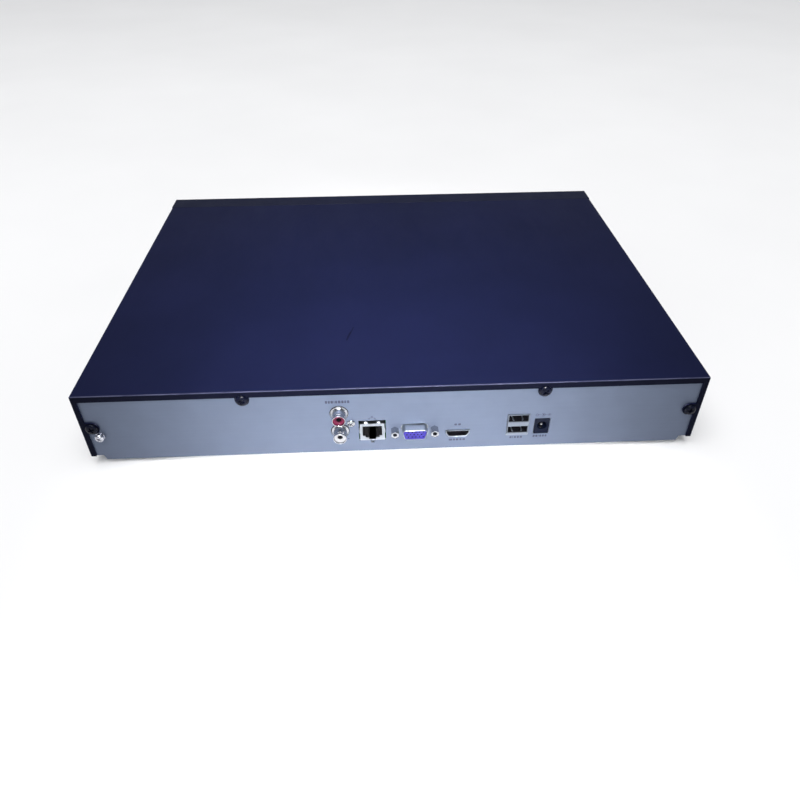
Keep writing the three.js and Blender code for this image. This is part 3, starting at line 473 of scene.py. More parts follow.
def tray_metal():
    """Plated sheet steel with a faint spangle; the socket panel's outer face is painted darker, as shade."""
    n = Nodes("tray_plated_steel")
    n.base(0.4, specular=0.4)
    lines = n.noise(9.0, detail=4.0, place=n.stretched((0.12, 1.0, 8.0)), rough=0.7)
    mottle = n.noise(16.0, detail=5.0)
    mixed = n.calculate("ADD", n.calculate("MULTIPLY", lines, 0.35), n.calculate("MULTIPLY", mottle, 0.65))
    tone = n.between(mixed, 0.0, 1.0)
    # Painted shade: the darker tone of the same steel for the panel's outer face.
    panel_face_shade = n.mix(tone, (0.09, 0.11, 0.161), (0.103, 0.127, 0.185))
    spangle = n.add("ShaderNodeTexVoronoi")
    spangle.inputs["Scale"].default_value = 1 / (5.0 * MM)
    n.join(n.place, spangle.inputs["Vector"])
    flake = n.calculate("MULTIPLY", n.between(spangle.outputs["Color"], 0.0, 1.0, 0.0, 1.0), 0.5)
    plated = n.mix(flake, (0.3, 0.325, 0.36), (0.4, 0.425, 0.46))
    place = n.add("ShaderNodeSeparateXYZ")
    n.join(n.place, place.inputs["Vector"])
    face = (nodes["chassis_tray"].matrix_world.inverted() @ Vector((0, (PANEL_Y - 0.25) * MM, 0))).y
    outside = n.between(place.outputs["Y"], 0.0, 1.0, face, face + 0.1 * MM)
    color = n.mix(outside, plated, panel_face_shade)
    gloss = n.between(mottle, 0.42, 0.5)
    fine = n.noise(0.35, detail=2.0)
    return n.finish(color, gloss, n.bump(fine, 0.004, 0.7))


def circuit_board(name="board_solder_mask"):
    """Green solder mask over copper tracks that run in blocks, with rows of small vias."""
    n = Nodes(name)
    n.base(0.0, specular=0.5)
    tracks = n.add("ShaderNodeTexBrick", offset=0.37, offset_frequency=3, squash=0.6, squash_frequency=4)
    tracks.inputs["Scale"].default_value = 1.0
    tracks.inputs["Mortar Size"].default_value = 0.22
    tracks.inputs["Brick Width"].default_value = 7.0
    tracks.inputs["Row Height"].default_value = 1.3
    tracks.inputs["Color1"].default_value = (0.0, 0.0, 0.0, 1.0)
    tracks.inputs["Color2"].default_value = (0.0, 0.0, 0.0, 1.0)
    tracks.inputs["Mortar"].default_value = (1.0, 1.0, 1.0, 1.0)
    n.join(n.stretched((1 / MM, 1 / MM, 1 / MM)), tracks.inputs["Vector"])
    vias = n.add("ShaderNodeTexVoronoi")
    vias.inputs["Scale"].default_value = 1 / (3.2 * MM)
    n.join(n.place, vias.inputs["Vector"])
    via = n.between(vias.outputs["Distance"], 1.0, 0.0, 0.1, 0.16)
    zone = n.between(n.noise(26.0, detail=1.0), 0.0, 1.0, 0.44, 0.5)
    track = n.calculate("MULTIPLY", tracks.outputs["Color"], zone)
    green = n.mix(n.between(n.noise(20.0), 0.0, 1.0), (0.008, 0.055, 0.022), (0.012, 0.075, 0.03))
    traced = n.mix(track, green, (0.03, 0.17, 0.07))
    color = n.mix(n.calculate("MULTIPLY", via, 0.8), traced, (0.45, 0.38, 0.2))
    height = n.calculate("ADD", track, n.calculate("MULTIPLY", via, 0.6))
    gloss = n.between(n.noise(8.0), 0.28, 0.4)
    return n.finish(color, gloss, n.bump(height, 0.03, 0.7))


def glowing(name, color, strength):
    """A small lamp, a little uneven across its lens."""
    n = Nodes(name)
    n.base(0.0)
    n.shader.inputs["Emission Color"].default_value = (*color, 1.0)
    n.shader.inputs["Emission Strength"].default_value = strength
    tone = n.between(n.noise(2.0), 0.0, 1.0)
    return n.finish(n.mix(tone, tinted(color, 0.7), color), n.between(n.noise(1.0), 0.2, 0.3))


COVER_PAINT = cover_paint()
SCUFF = surface("scuffed_paint", (0.0022, 0.0032, 0.015), 0.6, vary=0.4, patch=3, specular=0.08)
TRAY = tray_metal()
BLACK_SCREW = surface(
    "black_oxide_screw", (0.002, 0.003, 0.01), 0.26, vary=0.3, patch=3, grain=0.15, specular=0.12
)
ZINC = surface("bright_zinc", (0.55, 0.56, 0.62), 0.24, 1.0, vary=0.12, patch=2.5, grain=0.2, depth=0.006)
NICKEL = surface("bright_nickel", (0.46, 0.47, 0.5), 0.2, 1.0, vary=0.1, patch=3.0, grain=0.3, depth=0.004)
TIN = brushed("tinned_shell", (0.37, 0.4, 0.44), 0.32, along=(6.0, 6.0, 40.0), vary=0.12)
# A darker copy of the tinned shell for the port stack: painted shade.
SHADED_STACK_TIN = brushed("shaded_stack_shell", (0.2, 0.225, 0.27), 0.45, along=(6.0, 6.0, 40.0), vary=0.12)
GOLD = surface("gold_contact", (0.8, 0.58, 0.22), 0.25, 1.0, vary=0.1, patch=1.5, grain=0.1, depth=0.002)
RUBBER = surface("foot_rubber", (0.018, 0.018, 0.02), 0.82, vary=0.25, patch=4, grain=0.3, depth=0.03)
BEZEL = surface(
    "bezel_plastic", (0.0055, 0.0075, 0.025), 0.46, vary=0.1, patch=60, grain=0.35, depth=0.02, specular=0.14
)
LENS = surface(
    "smoked_lens",
    (0.003, 0.003, 0.005),
    0.1,
    vary=0.2,
    patch=20,
    grain=2.0,
    depth=0.002,
    spread=0.03,
    specular=0.2,
)
BLACK = surface("black_plastic", (0.011, 0.011, 0.013), 0.45, vary=0.2, patch=8, grain=0.3, specular=0.3)
NAVY = surface("dark_blue_plastic", (0.002, 0.004, 0.013), 0.5, vary=0.2, patch=4, grain=0.25, specular=0.08)
# Painted shade for the insides of holes, bores and openings.
HOLLOW_SHADE = surface("painted_hollow_shade", (0.004, 0.004, 0.006), 0.7, vary=0.2, patch=4, specular=0.1)
WHITE = surface("white_plastic", (0.45, 0.45, 0.46), 0.4, vary=0.04, patch=6, grain=0.3)
RED = surface("red_plastic", (0.08, 0.001, 0.02), 0.36, vary=0.15, patch=3, grain=0.25, specular=0.3)
CREAM = surface("pale_grey_plastic", (0.27, 0.27, 0.28), 0.4, vary=0.06, patch=3, grain=0.25, specular=0.3)
BLUE = surface("blue_plastic", (0.015, 0.009, 0.18), 0.4, vary=0.12, patch=3, grain=0.25)
CLEAR = surface("clear_plastic", (0.62, 0.66, 0.68), 0.12, vary=0.05, patch=5, grain=1.0)
CHIP = surface("chip_resin", (0.018, 0.018, 0.02), 0.55, vary=0.15, patch=5, grain=0.12, depth=0.012)
ANODISED = brushed("black_anodised", (0.03, 0.032, 0.036), 0.42, along=(30.0, 1.0, 30.0), metal=0.7)
CAST = surface("cast_aluminium", (0.18, 0.19, 0.2), 0.5, 0.75, vary=0.15, patch=12, grain=0.35, depth=0.03)
LID = brushed("brushed_lid_steel", (0.2, 0.21, 0.225), 0.46, along=(50.0, 1.0, 50.0), vary=0.08)
BOARD = circuit_board()
INK = surface("printed_ink", (0.02, 0.024, 0.055), 0.6, vary=0.3, patch=2, grain=0.2, depth=0.002)
PALE_INK = surface("pale_printed_ink", (0.5, 0.5, 0.52), 0.6, vary=0.1, patch=2, grain=0.2, depth=0.002)
LABEL = surface("paper_label", (0.5, 0.5, 0.49), 0.55, vary=0.03, patch=14, grain=0.4, depth=0.006)
BLUE_BAND = surface("label_band", (0.03, 0.09, 0.24), 0.5, vary=0.05, patch=10)
CERAMIC = surface("ceramic_tan", (0.36, 0.24, 0.14), 0.5, vary=0.2, patch=2)
SOLDER = surface("solder", (0.6, 0.61, 0.63), 0.3, 1.0, vary=0.15, patch=1.2, grain=0.2)
FOIL = brushed("capacitor_can", (0.6, 0.62, 0.64), 0.25, along=(4.0, 4.0, 60.0))
CABLE_RED = surface("red_sheath", (0.36, 0.012, 0.012), 0.48, vary=0.1, patch=10, grain=0.5)
CABLE_BLACK = surface("black_sheath", (0.016, 0.016, 0.018), 0.5, vary=0.15, patch=10, grain=0.5)
CABLE_YELLOW = surface("yellow_sheath", (0.62, 0.42, 0.02), 0.48, vary=0.1, patch=10, grain=0.5)
GREEN_LAMP = glowing("green_lamp", (0.05, 0.8, 0.2), 0.6)
BLUE_LAMP = glowing("blue_lamp", (0.1, 0.3, 0.9), 0.6)

# ---------------------------------------------------------------- cover

SHEET = 1.0
FOLD = 1.3  # outside radius of the cover's folds
REAR_FOLD = 1.0
TOP_LIP = 4.5
SIDE_LIP = 3.6
TAB = 4.3
HOOK_RISE = 1.5  # the cover's sides stop this far above its hooks' undersides
HOOK = {"length": 20.0, "reach": 5.2, "count": 3, "thickness": 1.0}
VENT = {"width": 2.4, "height": 17.0, "bottom": 21.0, "pitch": 6.2, "count": 8, "front_share": 0.28}

COVER_LOW, COVER_HIGH = span("top_cover")
SCREW_TOP = middle("cover_screw_top_left")
SCREW_SIDE = middle("cover_screw_side_left")


def ramp(low, high, count):
    return [low + (high - low) * i / count for i in range(count + 1)]


def tab_samples(centre, reach=TAB):
    """Places along the lip that follow a round tab, with its two ends."""
    inside = [centre - reach * math.cos(math.pi * i / 20) for i in range(21)]
    return [centre - reach - 0.01, *inside, centre + reach + 0.01]


def lip_depth(along, centre, across, plain):
    """How far in the lip reaches: the plain lip, or the round tab where there is one."""
    gap = abs(along - centre)
    if gap > TAB:
        return plain
    return max(plain, across + math.sqrt(max(0.0, TAB**2 - gap**2)))


def cover_path():
    """Samples round the cover's U section: point, outward normal and the lip's inner edge."""
    half = COVER_HIGH.x
    top = COVER_HIGH.z
    bottom = COVER_LOW.z + HOOK_RISE
    lip_corner = (half - SIDE_LIP, top - TOP_LIP)
    samples = []
    heights = sorted({bottom, top - FOLD, *tab_samples(SCREW_SIDE.z)})
    for z in heights:
        depth = lip_depth(z, SCREW_SIDE.z, half - SCREW_SIDE.x, SIDE_LIP)
        edge = (half - depth, min(z, top - TOP_LIP))
        samples.append(((half, z), (1.0, 0.0), edge))
    for i in range(1, 8):
        angle = math.pi / 2 * i / 8
        normal = (math.cos(angle), math.sin(angle))
        point = (half - FOLD + FOLD * normal[0], top - FOLD + FOLD * normal[1])
        samples.append((point, normal, lip_corner))
    places = {0.0, half - FOLD, *ramp(half - FOLD, half - 9.0, 2), *tab_samples(SCREW_TOP.x)}
    for x in sorted(places, reverse=True):
        depth = lip_depth(x, SCREW_TOP.x, top - SCREW_TOP.z, TOP_LIP)
        edge = (min(x, half - SIDE_LIP), top - depth)
        samples.append(((x, top), (0.0, 1.0), edge))
    other = [((-p[0], p[1]), (-n[0], n[1]), (-e[0], e[1])) for p, n, e in reversed(samples[:-1])]
    return samples + other


def cover_shell():
    """One folded sheet: top, sides, a lip all round the rear with four screw tabs, and six hooks."""
    bm = bmesh.new()
    front, rear = COVER_LOW.y, COVER_HIGH.y
    fold = [(REAR_FOLD * (1 - math.cos(a)), REAR_FOLD * math.sin(a)) for a in ramp(0, math.pi / 2, 6)]
    rings = []
    for (px, pz), (nx, nz), (ex, ez) in cover_path():
        rows = [(px, front, pz)]
        rows += [(px - nx * inward, rear - REAR_FOLD + back, pz - nz * inward) for inward, back in fold]
        inner = (px - nx * SHEET, pz - nz * SHEET)
        rows += [
            (ex, rear, ez),
            (ex, rear - SHEET, ez),
            (inner[0], rear - SHEET, inner[1]),
            (inner[0], front, inner[1]),
        ]
        rings.append([bm.verts.new(row) for row in rows])
    for one, two in zip(rings, rings[1:]):
        for i in range(len(one)):
            bm.faces.new((one[i - 1], one[i], two[i], two[i - 1]))
    bm.faces.new(rings[0])
    bm.faces.new(rings[-1])
    length = rear - front
    for side in (-1, 1):
        outer = side * COVER_HIGH.x
        for i in range(HOOK["count"]):
            y = front + length * (i + 0.5) / HOOK["count"]
            y0, y1 = y - HOOK["length"] / 2, y + HOOK["length"] / 2
            z0 = COVER_LOW.z
            x0, x1 = sorted((outer - side * (SHEET + HOOK["reach"]), outer))
            block(bm, (x0, y0, z0), (x1, y1, z0 + HOOK["thickness"]), 0.2)
            x0, x1 = sorted((outer - side * SHEET, outer))
            block(bm, (x0, y0, z0 + 0.5), (x1, y1, z0 + HOOK_RISE + 0.5), 0.1)
    return to_object("cover_shell", bm, sharp=30)


def cover_vents():
    """Cutters for the banks of upright slots in both sides."""
    bm = bmesh.new()
    low = PANEL_BOTTOM + VENT["bottom"]
    bank = VENT["pitch"] * (VENT["count"] - 1)
    length = COVER_HIGH.y - COVER_LOW.y
    for side in (-1, 1):
        x = side * COVER_HIGH.x
        for centre in (middle("fan_frame").y, COVER_LOW.y + VENT["front_share"] * length):
            for i in range(VENT["count"]):
                y = centre - bank / 2 + i * VENT["pitch"]
                outline = rectangle(y, low + VENT["height"] / 2, VENT["width"], VENT["height"], 1.19, 6)
                slab(bm, "X", outline, x - 3, x + 3)
    return bm


def screw_profile(seat, size):
    """Half the section of a domed screw with its head on seat: (radius, distance along the axis)."""
    radius, height, shank, length = size
    profile = [(0, seat - length), (shank * 0.7, seat - length), (shank, seat - length + 0.6)]
    turns = int(length / 0.8)
    for i in range(turns):
        y = seat - length + 0.8 + i * 0.8 * (length - 1.2) / length
        profile += [(shank * 0.84, y), (shank, y + 0.3)]
    profile += [(shank, seat), (radius - 0.25, seat), (radius, seat + 0.25), (radius, seat + height * 0.32)]
    for i in range(1, 8):
        angle = math.pi / 2 * i / 8
        profile.append((radius * math.cos(angle) ** 0.8, seat + height * (0.32 + 0.68 * math.sin(angle))))
    profile.append((0.0, seat + height))
    return profile


def cross_recess(centre, top, radius, depth, turn, axis):
    """The cutter of a cross recess: two tapered arms and a centre dimple."""
    bm = bmesh.new()
    arm = radius * 0.6
    wide = radius * 0.14
    for extra in (0, 90):
        angle = math.radians(turn + extra)
        c, s = math.cos(angle), math.sin(angle)
        verts = []
        for reach, half, y in ((arm, wide, top + 0.3), (arm * 0.72, wide * 0.8, top - depth)):
            for a, b in ((-reach, -half), (reach, -half), (reach, half), (-reach, half)):
                corner = (centre[0] + a * c - b * s, centre[1] + a * s + b * c)
                verts.append(bm.verts.new(PLACE[axis](*corner, y)))
        for quad in ((0, 1, 2, 3), (4, 5, 6, 7), (0, 1, 5, 4), (1, 2, 6, 5), (2, 3, 7, 6), (3, 0, 4, 7)):
            bm.faces.new([verts[i] for i in quad])
    return bm


def driven_screw(name, axis, centre, seat, size, depth, turn, sides=40, washers=()):
    """A cross-head screw: size is its head's radius and height, its shank's radius and its length."""
    bm = bmesh.new()
    turned(bm, axis, centre, screw_profile(seat, size), sides)
    for washer, washer_sides in washers:
        turned(bm, axis, centre, washer, washer_sides)
    obj = to_object(name, bm)
    carve(obj, cross_recess(centre, seat + size[1], size[0], depth, turn, axis))
    return obj


def panel_screw(name, node, look, size, body=ROOT, turn=0.0):
    """A screw in the place of a CAD screw that points along +Y."""
    low, high = span(node)
    centre = seen_along("Y", low, high)
    obj = driven_screw(name, "Y", centre, high.y - size[1], size, size[1] * 0.62, turn)
    add_piece(obj, look, body, (node,))


shell = cover_shell()
carve(shell, cover_vents())
add_piece(shell, COVER_PAINT, COVER, ("top_cover",))


def cover_scuff():
    """A short dark scuff on the top, left of the middle seen from behind."""
    bm = bmesh.new()
    x, y = COVER_HIGH.x * 0.14, COVER_HIGH.y - 60
    one_side = [(-2.2, -8.5), (-1.5, -8.0), (0.4, -2.0), (2.0, 2.5)]
    outline = [*one_side, (3.0, 7.6), (2.2, 8.4), (0.9, 4.0), (-0.9, -3.0)]
    slab(bm, "Z", shifted(outline, x, y), COVER_HIGH.z - 0.02, COVER_HIGH.z + 0.01)
    piece("cover_scuff", bm, SCUFF, COVER)


cover_scuff()
for index, name in enumerate(("top_left", "top_right", "side_left", "side_right")):
    look, size, turn = BLACK_SCREW, (3.8, 2.0, 1.4, 6.4), 20 + index * 25
    panel_screw(f"case_screw_{name}", f"cover_screw_{name}", look, size, COVER, turn)

# ---------------------------------------------------------------- audio sockets


def audio_sleeve(color):
    """A nickel barrel with a rolled rim and a seat ring in the panel's hole."""
    node = f"audio_sleeve_{color}"
    low, high = span(node)
    centre = seen_along("Y", low, high)
    ring = (high.x - low.x) / 2
    barrel, bore = 4.15, 3.62
    tip = high.y
    profile = [
        (bore, low.y),
        (barrel, low.y),
        (barrel, PANEL_Y - 0.2),
        (ring, PANEL_Y - 0.1),
        (ring, PANEL_Y + 0.15),
        (ring - 0.2, PANEL_Y + 0.35),
        (barrel + 0.55, PANEL_Y + 0.45),
        (barrel + 0.3, PANEL_Y + 0.75),
        (barrel, PANEL_Y + 0.95),
        (barrel, tip - 2.2),
        (barrel - 0.12, tip - 2.05),
        (barrel - 0.12, tip - 1.75),
        (barrel, tip - 1.6),
        (barrel, tip - 0.45),
    ]
    for a in ramp(0, math.pi, 8):
        profile.append((bore + 0.265 + 0.265 * math.cos(a), tip - 0.3 + 0.3 * math.sin(a)))
    profile.append(profile[0])
    bm = bmesh.new()
    turned(bm, "Y", centre, profile, 64)
    piece(f"audio_barrel_{color}", bm, NICKEL, ROOT, (node,), sharp=30)


def audio_insert(color, look):
    """The coloured core of a socket, dished towards the pin's hole."""
    node = f"audio_insert_{color}"
    low, high = span(node)
    centre = seen_along("Y", low, high)
    outer = (high.x - low.x) / 2 + 0.02
    face = high.y
    hole = 1.7
    profile = [
        (hole, face - 12.0),
        (outer, face - 12.0),
        (outer, face - 0.35),
        (outer - 0.1, face - 0.1),
        (outer - 0.35, face),
        (hole + 0.75, face - 0.15),
        (hole + 0.2, face - 0.45),
        (hole, face - 0.8),
        (hole, face - 12.0),
    ]
    bm = bmesh.new()
    turned(bm, "Y", centre, profile, 48)
    piece(f"audio_core_{color}", bm, look, ROOT, (node,))
    # The pin's contact sleeve, dark with painted shade.
    bm = bmesh.new()
    sleeve = [
        (0, face - 12),
        (hole, face - 12),
        (hole, face - 1.2),
        (hole - 0.35, face - 1.0),
        (hole - 0.5, face - 1.2),
        (hole - 0.5, face - 8),
        (0, face - 8),
    ]
    turned(bm, "Y", centre, sleeve, 32)
    piece(f"audio_contact_{color}", bm, HOLLOW_SHADE, ROOT)


for color, look, slot in (("red", RED, "red_plastic"), ("white", CREAM, "white_plastic")):
    audio_sleeve(color)
    audio_insert(color, look)
dress("audio_housing", BLACK, 0.2)
panel_screw("audio_panel_screw", "audio_screw", NICKEL, (2.6, 1.6, 1.25, 5.0), turn=40)

# ---------------------------------------------------------------- network socket


def network_opening(bottom, cx):
    """Where the plug goes in: a wide part with a step and the latch's key below."""
    half = [(2.25, 0.5), (2.25, 2.0), (4.45, 2.0), (4.45, 3.5), (6.12, 3.5), (6.12, 11.35)]
    return shifted(rounded(mirrored(half), 0.18, 2), cx, bottom)


def network_socket():
    low, high = span("lan_shield")
    cx = (low.x + high.x) / 2
    width = high.x - low.x
    bottom = low.z
    face = high.y
    top = bottom + 13.4
    middle_z = (bottom + top) / 2
    opening = network_opening(bottom, cx)
    bm = bmesh.new()
    slab(bm, "Y", rectangle(cx, middle_z, width, top - bottom, 0.5), face - 0.35, face, [opening], edge=0.1)
    inner = rectangle(cx, middle_z, width - 0.8, top - bottom - 0.8, 0.3)
    slab(bm, "Y", rectangle(cx, middle_z, width, top - bottom, 0.5), low.y, face - 0.3, [inner])
    for dx in (-4.0, 4.0):
        path = [
            (cx + dx, face - y, top + z)
            for y, z in ((0.1, -0.1), (0.05, 0.6), (0.6, 1.15), (1.8, 1.2), (3.4, 0.3))
        ]
        tube(bm, smooth_path(path, 4), 1.15, 0.14, 8)
    for side in (-1, 1):
        path = [
            (cx + side * (width / 2 + out), face - y, middle_z + 0.4)
            for y, out in ((0.1, -0.1), (0.05, 0.28), (0.6, 0.42), (1.8, 0.4), (3.4, 0.0))
        ]
        tube(bm, smooth_path(path, 4), 1.5, 0.12, 8, across=(0, 0, 1))
    piece("network_shield", bm, TIN, ROOT, ("lan_shield",))

    low, high = span("lan_insert")
    deep = high.y - 12.0
    bm = bmesh.new()
    body = rectangle(cx, (low.z + high.z) / 2, high.x - low.x, high.z - low.z, 0.3)
    slab(bm, "Y", body, deep, high.y, [opening])
    slab(bm, "Y", body, low.y, deep + 0.02)
    piece("network_insert", bm, BLACK, ROOT, ("lan_insert",))
    bm = bmesh.new()
    for i in range(8):
        x = cx + (i - 3.5) * 1.02
        path = [
            (x, deep + 1, top - 2.6),
            (x, high.y - 3.2, top - 2.3),
            (x, high.y - 2.4, top - 2.6),
            (x, deep + 4, top - 5.4),
        ]
        tube(bm, smooth_path(path, 4), 0.22, 0.16, 6)
    piece("network_contacts", bm, GOLD, ROOT)


network_socket()

# ---------------------------------------------------------------- analogue video socket


def d_outline(grow=0.0, steps=6):
    """The D-shaped shell's outline about its centre."""
    half = 3.95 + grow
    corners = [(-6.4 - grow, -half), (6.4 + grow, -half), (8.35 + grow, half), (-8.35 - grow, half)]
    return rounded(corners, 2.2 + grow, steps)


def video_socket_d():
    low, high = span("vga_shell")
    cx, cz = seen_along("Y", low, high)
    rim = high.y
    wall = 0.4
    outer = shifted(d_outline(), cx, cz)
    inner = shifted(d_outline(-wall), cx, cz)
    bm = bmesh.new()
    slab(bm, "Y", outer, low.y, rim, [inner], edge=0.14, steps=3)
    flange = rectangle(cx, cz, high.x - low.x, high.z - low.z, 1.2)
    slab(bm, "Y", flange, low.y, low.y + 0.5, [inner], edge=0.1)
    piece("video_d_shell", bm, TIN, ROOT, ("vga_shell",))

    face = rim - 0.6
    holes = []
    for row in range(3):
        shift = 0.57 if row == 1 else -0.57
        for i in range(5):
            holes.append(circle(cx + (i - 2) * 2.29 + shift, cz + (row - 1) * 1.98, 0.56, 12))
    # Dark plugs in the pin holes: painted shade.
    bm = bmesh.new()
    for hole in holes:
        slab(bm, "Y", hole, face - 3.9, face - 0.35)
    piece("video_d_contacts", bm, HOLLOW_SHADE, ROOT)
    bm = bmesh.new()
    plug_face = shifted(d_outline(-wall - 0.12), cx, cz)
    slab(bm, "Y", plug_face, face - 4.0, face, holes, edge=0.08, steps=1)
    slab(bm, "Y", plug_face, low.y - 2, face - 3.98)
    node_low, node_high = span("vga_insert")
    block(bm, (node_low.x, node_low.y, node_low.z), (node_high.x, low.y - 0.6, node_high.z), 0.3)
    piece("video_d_insert", bm, BLUE, ROOT, ("vga_insert",))


def jack_post(side):
    """A hexagonal post with chamfered corners and a threaded hole."""
    node = f"vga_post_{side}"
    low, high = span(node)
    cx, cz = seen_along("Y", low, high)
    flats = high.x - low.x
    bore = 1.3
    bm = bmesh.new()
    hexagon = circle(cx, cz, flats / math.sqrt(3), 6, start=30)
    slab(bm, "Y", hexagon, PANEL_Y + 0.1, high.y, [circle(cx, cz, bore, 24)], edge=0.28, steps=3)
    thread = [(bore + 0.1, high.y - 4.2), (bore + 0.1, high.y - 0.3)]
    for i in range(8):
        y = high.y - 0.35 - i * 0.48
        thread += [(bore - 0.18, y - 0.14), (bore + 0.02, y - 0.36)]
    thread.append(thread[0])
    turned(bm, "Y", (cx, cz), [(0, low.y), (1.4, low.y), (1.4, high.y - 4), (0, high.y - 4)], 20)
    piece(f"jack_post_{side}", bm, NICKEL, ROOT, (node,))
    # The thread and the bottom of the bore are dark: painted shade.
    bm = bmesh.new()
    turned(bm, "Y", (cx, cz), thread, 24)
    plug = [(0, high.y - 3.9), (bore, high.y - 3.9), (bore, high.y - 2.5), (0, high.y - 2.5)]
    turned(bm, "Y", (cx, cz), plug, 20)
    piece(f"jack_thread_{side}", bm, HOLLOW_SHADE, ROOT)


video_socket_d()
jack_post("left")
jack_post("right")

# ---------------------------------------------------------------- digital video socket


def digital_video_socket():
    low, high = span("digital_video_shell")
    cx = (low.x + high.x) / 2
    wall = 0.4
    half = (high.x - low.x) / 2 - wall
    bottom, top = high.z - 5.25 + wall, high.z - wall

    def opening(grow):
        return [
            (4.7 + grow * 0.4, bottom - grow),
            (5.5 + grow * 0.6, bottom + 0.25 - grow),
            (half - 0.3 + grow, bottom + 1.9 - grow * 0.6),
            (half + grow, bottom + 2.5 - grow * 0.3),
            (half + grow, top + grow),
        ]

    outer = shifted(rounded(mirrored(opening(wall)), 0.35, 3), cx, 0)
    inner = shifted(rounded(mirrored(opening(0)), 0.25, 3), cx, 0)
    bm = bmesh.new()
    slab(bm, "Y", outer, low.y, high.y, [inner], edge=0.14, steps=3)
    slab(bm, "Y", outer, low.y - 0.02, low.y + 0.4)
    for side in (-1, 1):
        x = cx + side * 3.6
        path = [(x, high.y - y, top + z) for y, z in ((1.0, 0.15), (2.2, -0.35), (3.4, -0.5), (5.0, 0.1))]
        tube(bm, smooth_path(path, 4), 0.9, 0.1, 8)
    for side in (-1, 1):
        leg = cx + side * (half + wall / 2)
        block_at(bm, (leg, (low.y + high.y) / 2, BOARD_TOP + 2.1), (wall, 3, 4), 0.05)
    piece("digital_video_can", bm, TIN, ROOT, ("digital_video_shell",))

    node_low, node_high = span("digital_video_insert")
    tongue = (bottom + top) / 2 + 0.3
    # The tongue is black plastic; the plug at the back and the lining inside the shell are painted shade.
    bm = bmesh.new()
    slab(bm, "Y", shifted(rounded(mirrored(opening(-0.1)), 0.25, 3), cx, 0), node_low.y, node_low.y + 2.5)
    block(bm, (cx - 5.3, node_low.y + 2, tongue - 0.6), (cx + 5.3, node_high.y, tongue + 0.6), 0.2)
    lining = shifted(rounded(mirrored(opening(0.05)), 0.25, 3), cx, 0)
    bore = shifted(rounded(mirrored(opening(-0.1)), 0.25, 3), cx, 0)
    slab(bm, "Y", lining, node_low.y, high.y - 0.45, [bore])
    piece("digital_video_tongue", bm, HOLLOW_SHADE, ROOT, ("digital_video_insert",))
    bm = bmesh.new()
    for i in range(19):
        x = cx + (i - 9) * 0.5
        z = tongue + (0.62 if i % 2 == 0 else -0.62)
        block_at(bm, (x, node_high.y - 2.6, z), (0.26, 4.2, 0.06), 0)
    piece("digital_video_contacts", bm, GOLD, ROOT)


digital_video_socket()

# ---------------------------------------------------------------- serial ports


def port_springs(bm, cx, floor_z, face):
    """Two leaf springs of a port's shell that bow into the opening."""
    for side in (-1, 1):
        x = cx + side * 3.1
        path = [
            (x - side * 0.5, face - 1.2, floor_z - 0.05),
            (x, face - 2.4, floor_z + 0.4),
            (x, face - 3.8, floor_z + 0.5),
            (x + side * 0.2, face - 6.5, floor_z - 0.05),
        ]
        tube(bm, smooth_path(path, 4), 0.45, 0.1, 8)


def port_tongue(name, node, cx):
    low, high = span(node)
    bm = bmesh.new()
    block(bm, low, high, 0.25)
    piece(name, bm, BLACK, ROOT, (node,))
    bm = bmesh.new()
    for x in (-3.5, -1.0, 1.0, 3.5):
        block_at(bm, (cx + x, (low.y + high.y) / 2 + 0.6, low.z - 0.02), (1.0, high.y - low.y - 2.4, 0.08), 0)
    piece(f"{name}_contacts", bm, GOLD, ROOT)


def serial_stack():
    low, high = span("usb_shell")
    cx = (low.x + high.x) / 2
    face = high.y
    depth = 13.4
    tongues = [span("usb_tongue_lower"), span("usb_tongue_upper")]
    openings = [(box[0].z - 2.65, box[0].z + 2.65) for box in tongues]
    bm = bmesh.new()
    holes = [rectangle(cx, (a + b) / 2, 12.5, b - a, 0.35, 3) for a, b in openings]
    outline = rectangle(cx, (low.z + high.z) / 2, high.x - low.x, high.z - low.z, 0.5)
    slab(bm, "Y", outline, face - depth, face, holes, edge=0.16, steps=3)
    slab(bm, "Y", outline, low.y, face - depth + 0.02)
    for floor_z, _ in openings:
        port_springs(bm, cx, floor_z, face)
    piece("serial_stack_can", bm, SHADED_STACK_TIN, ROOT, ("usb_shell",))
    # Dark lining inside the two openings: painted shade.
    bm = bmesh.new()
    for a, b in openings:
        outer, inner = (rectangle(cx, (a + b) / 2, 12.5 - cut, b - a - cut, 0.3, 3) for cut in (-0.06, 0.12))
        slab(bm, "Y", outer, face - depth, face - 0.7, [inner])
        slab(bm, "Y", outer, face - depth - 0.2, face - depth + 0.2)
    piece("serial_stack_hollow_shade", bm, HOLLOW_SHADE, ROOT)
    port_tongue("serial_tongue_lower", "usb_tongue_lower", cx)
    port_tongue("serial_tongue_upper", "usb_tongue_upper", cx)


serial_stack()

# ---------------------------------------------------------------- power inlet


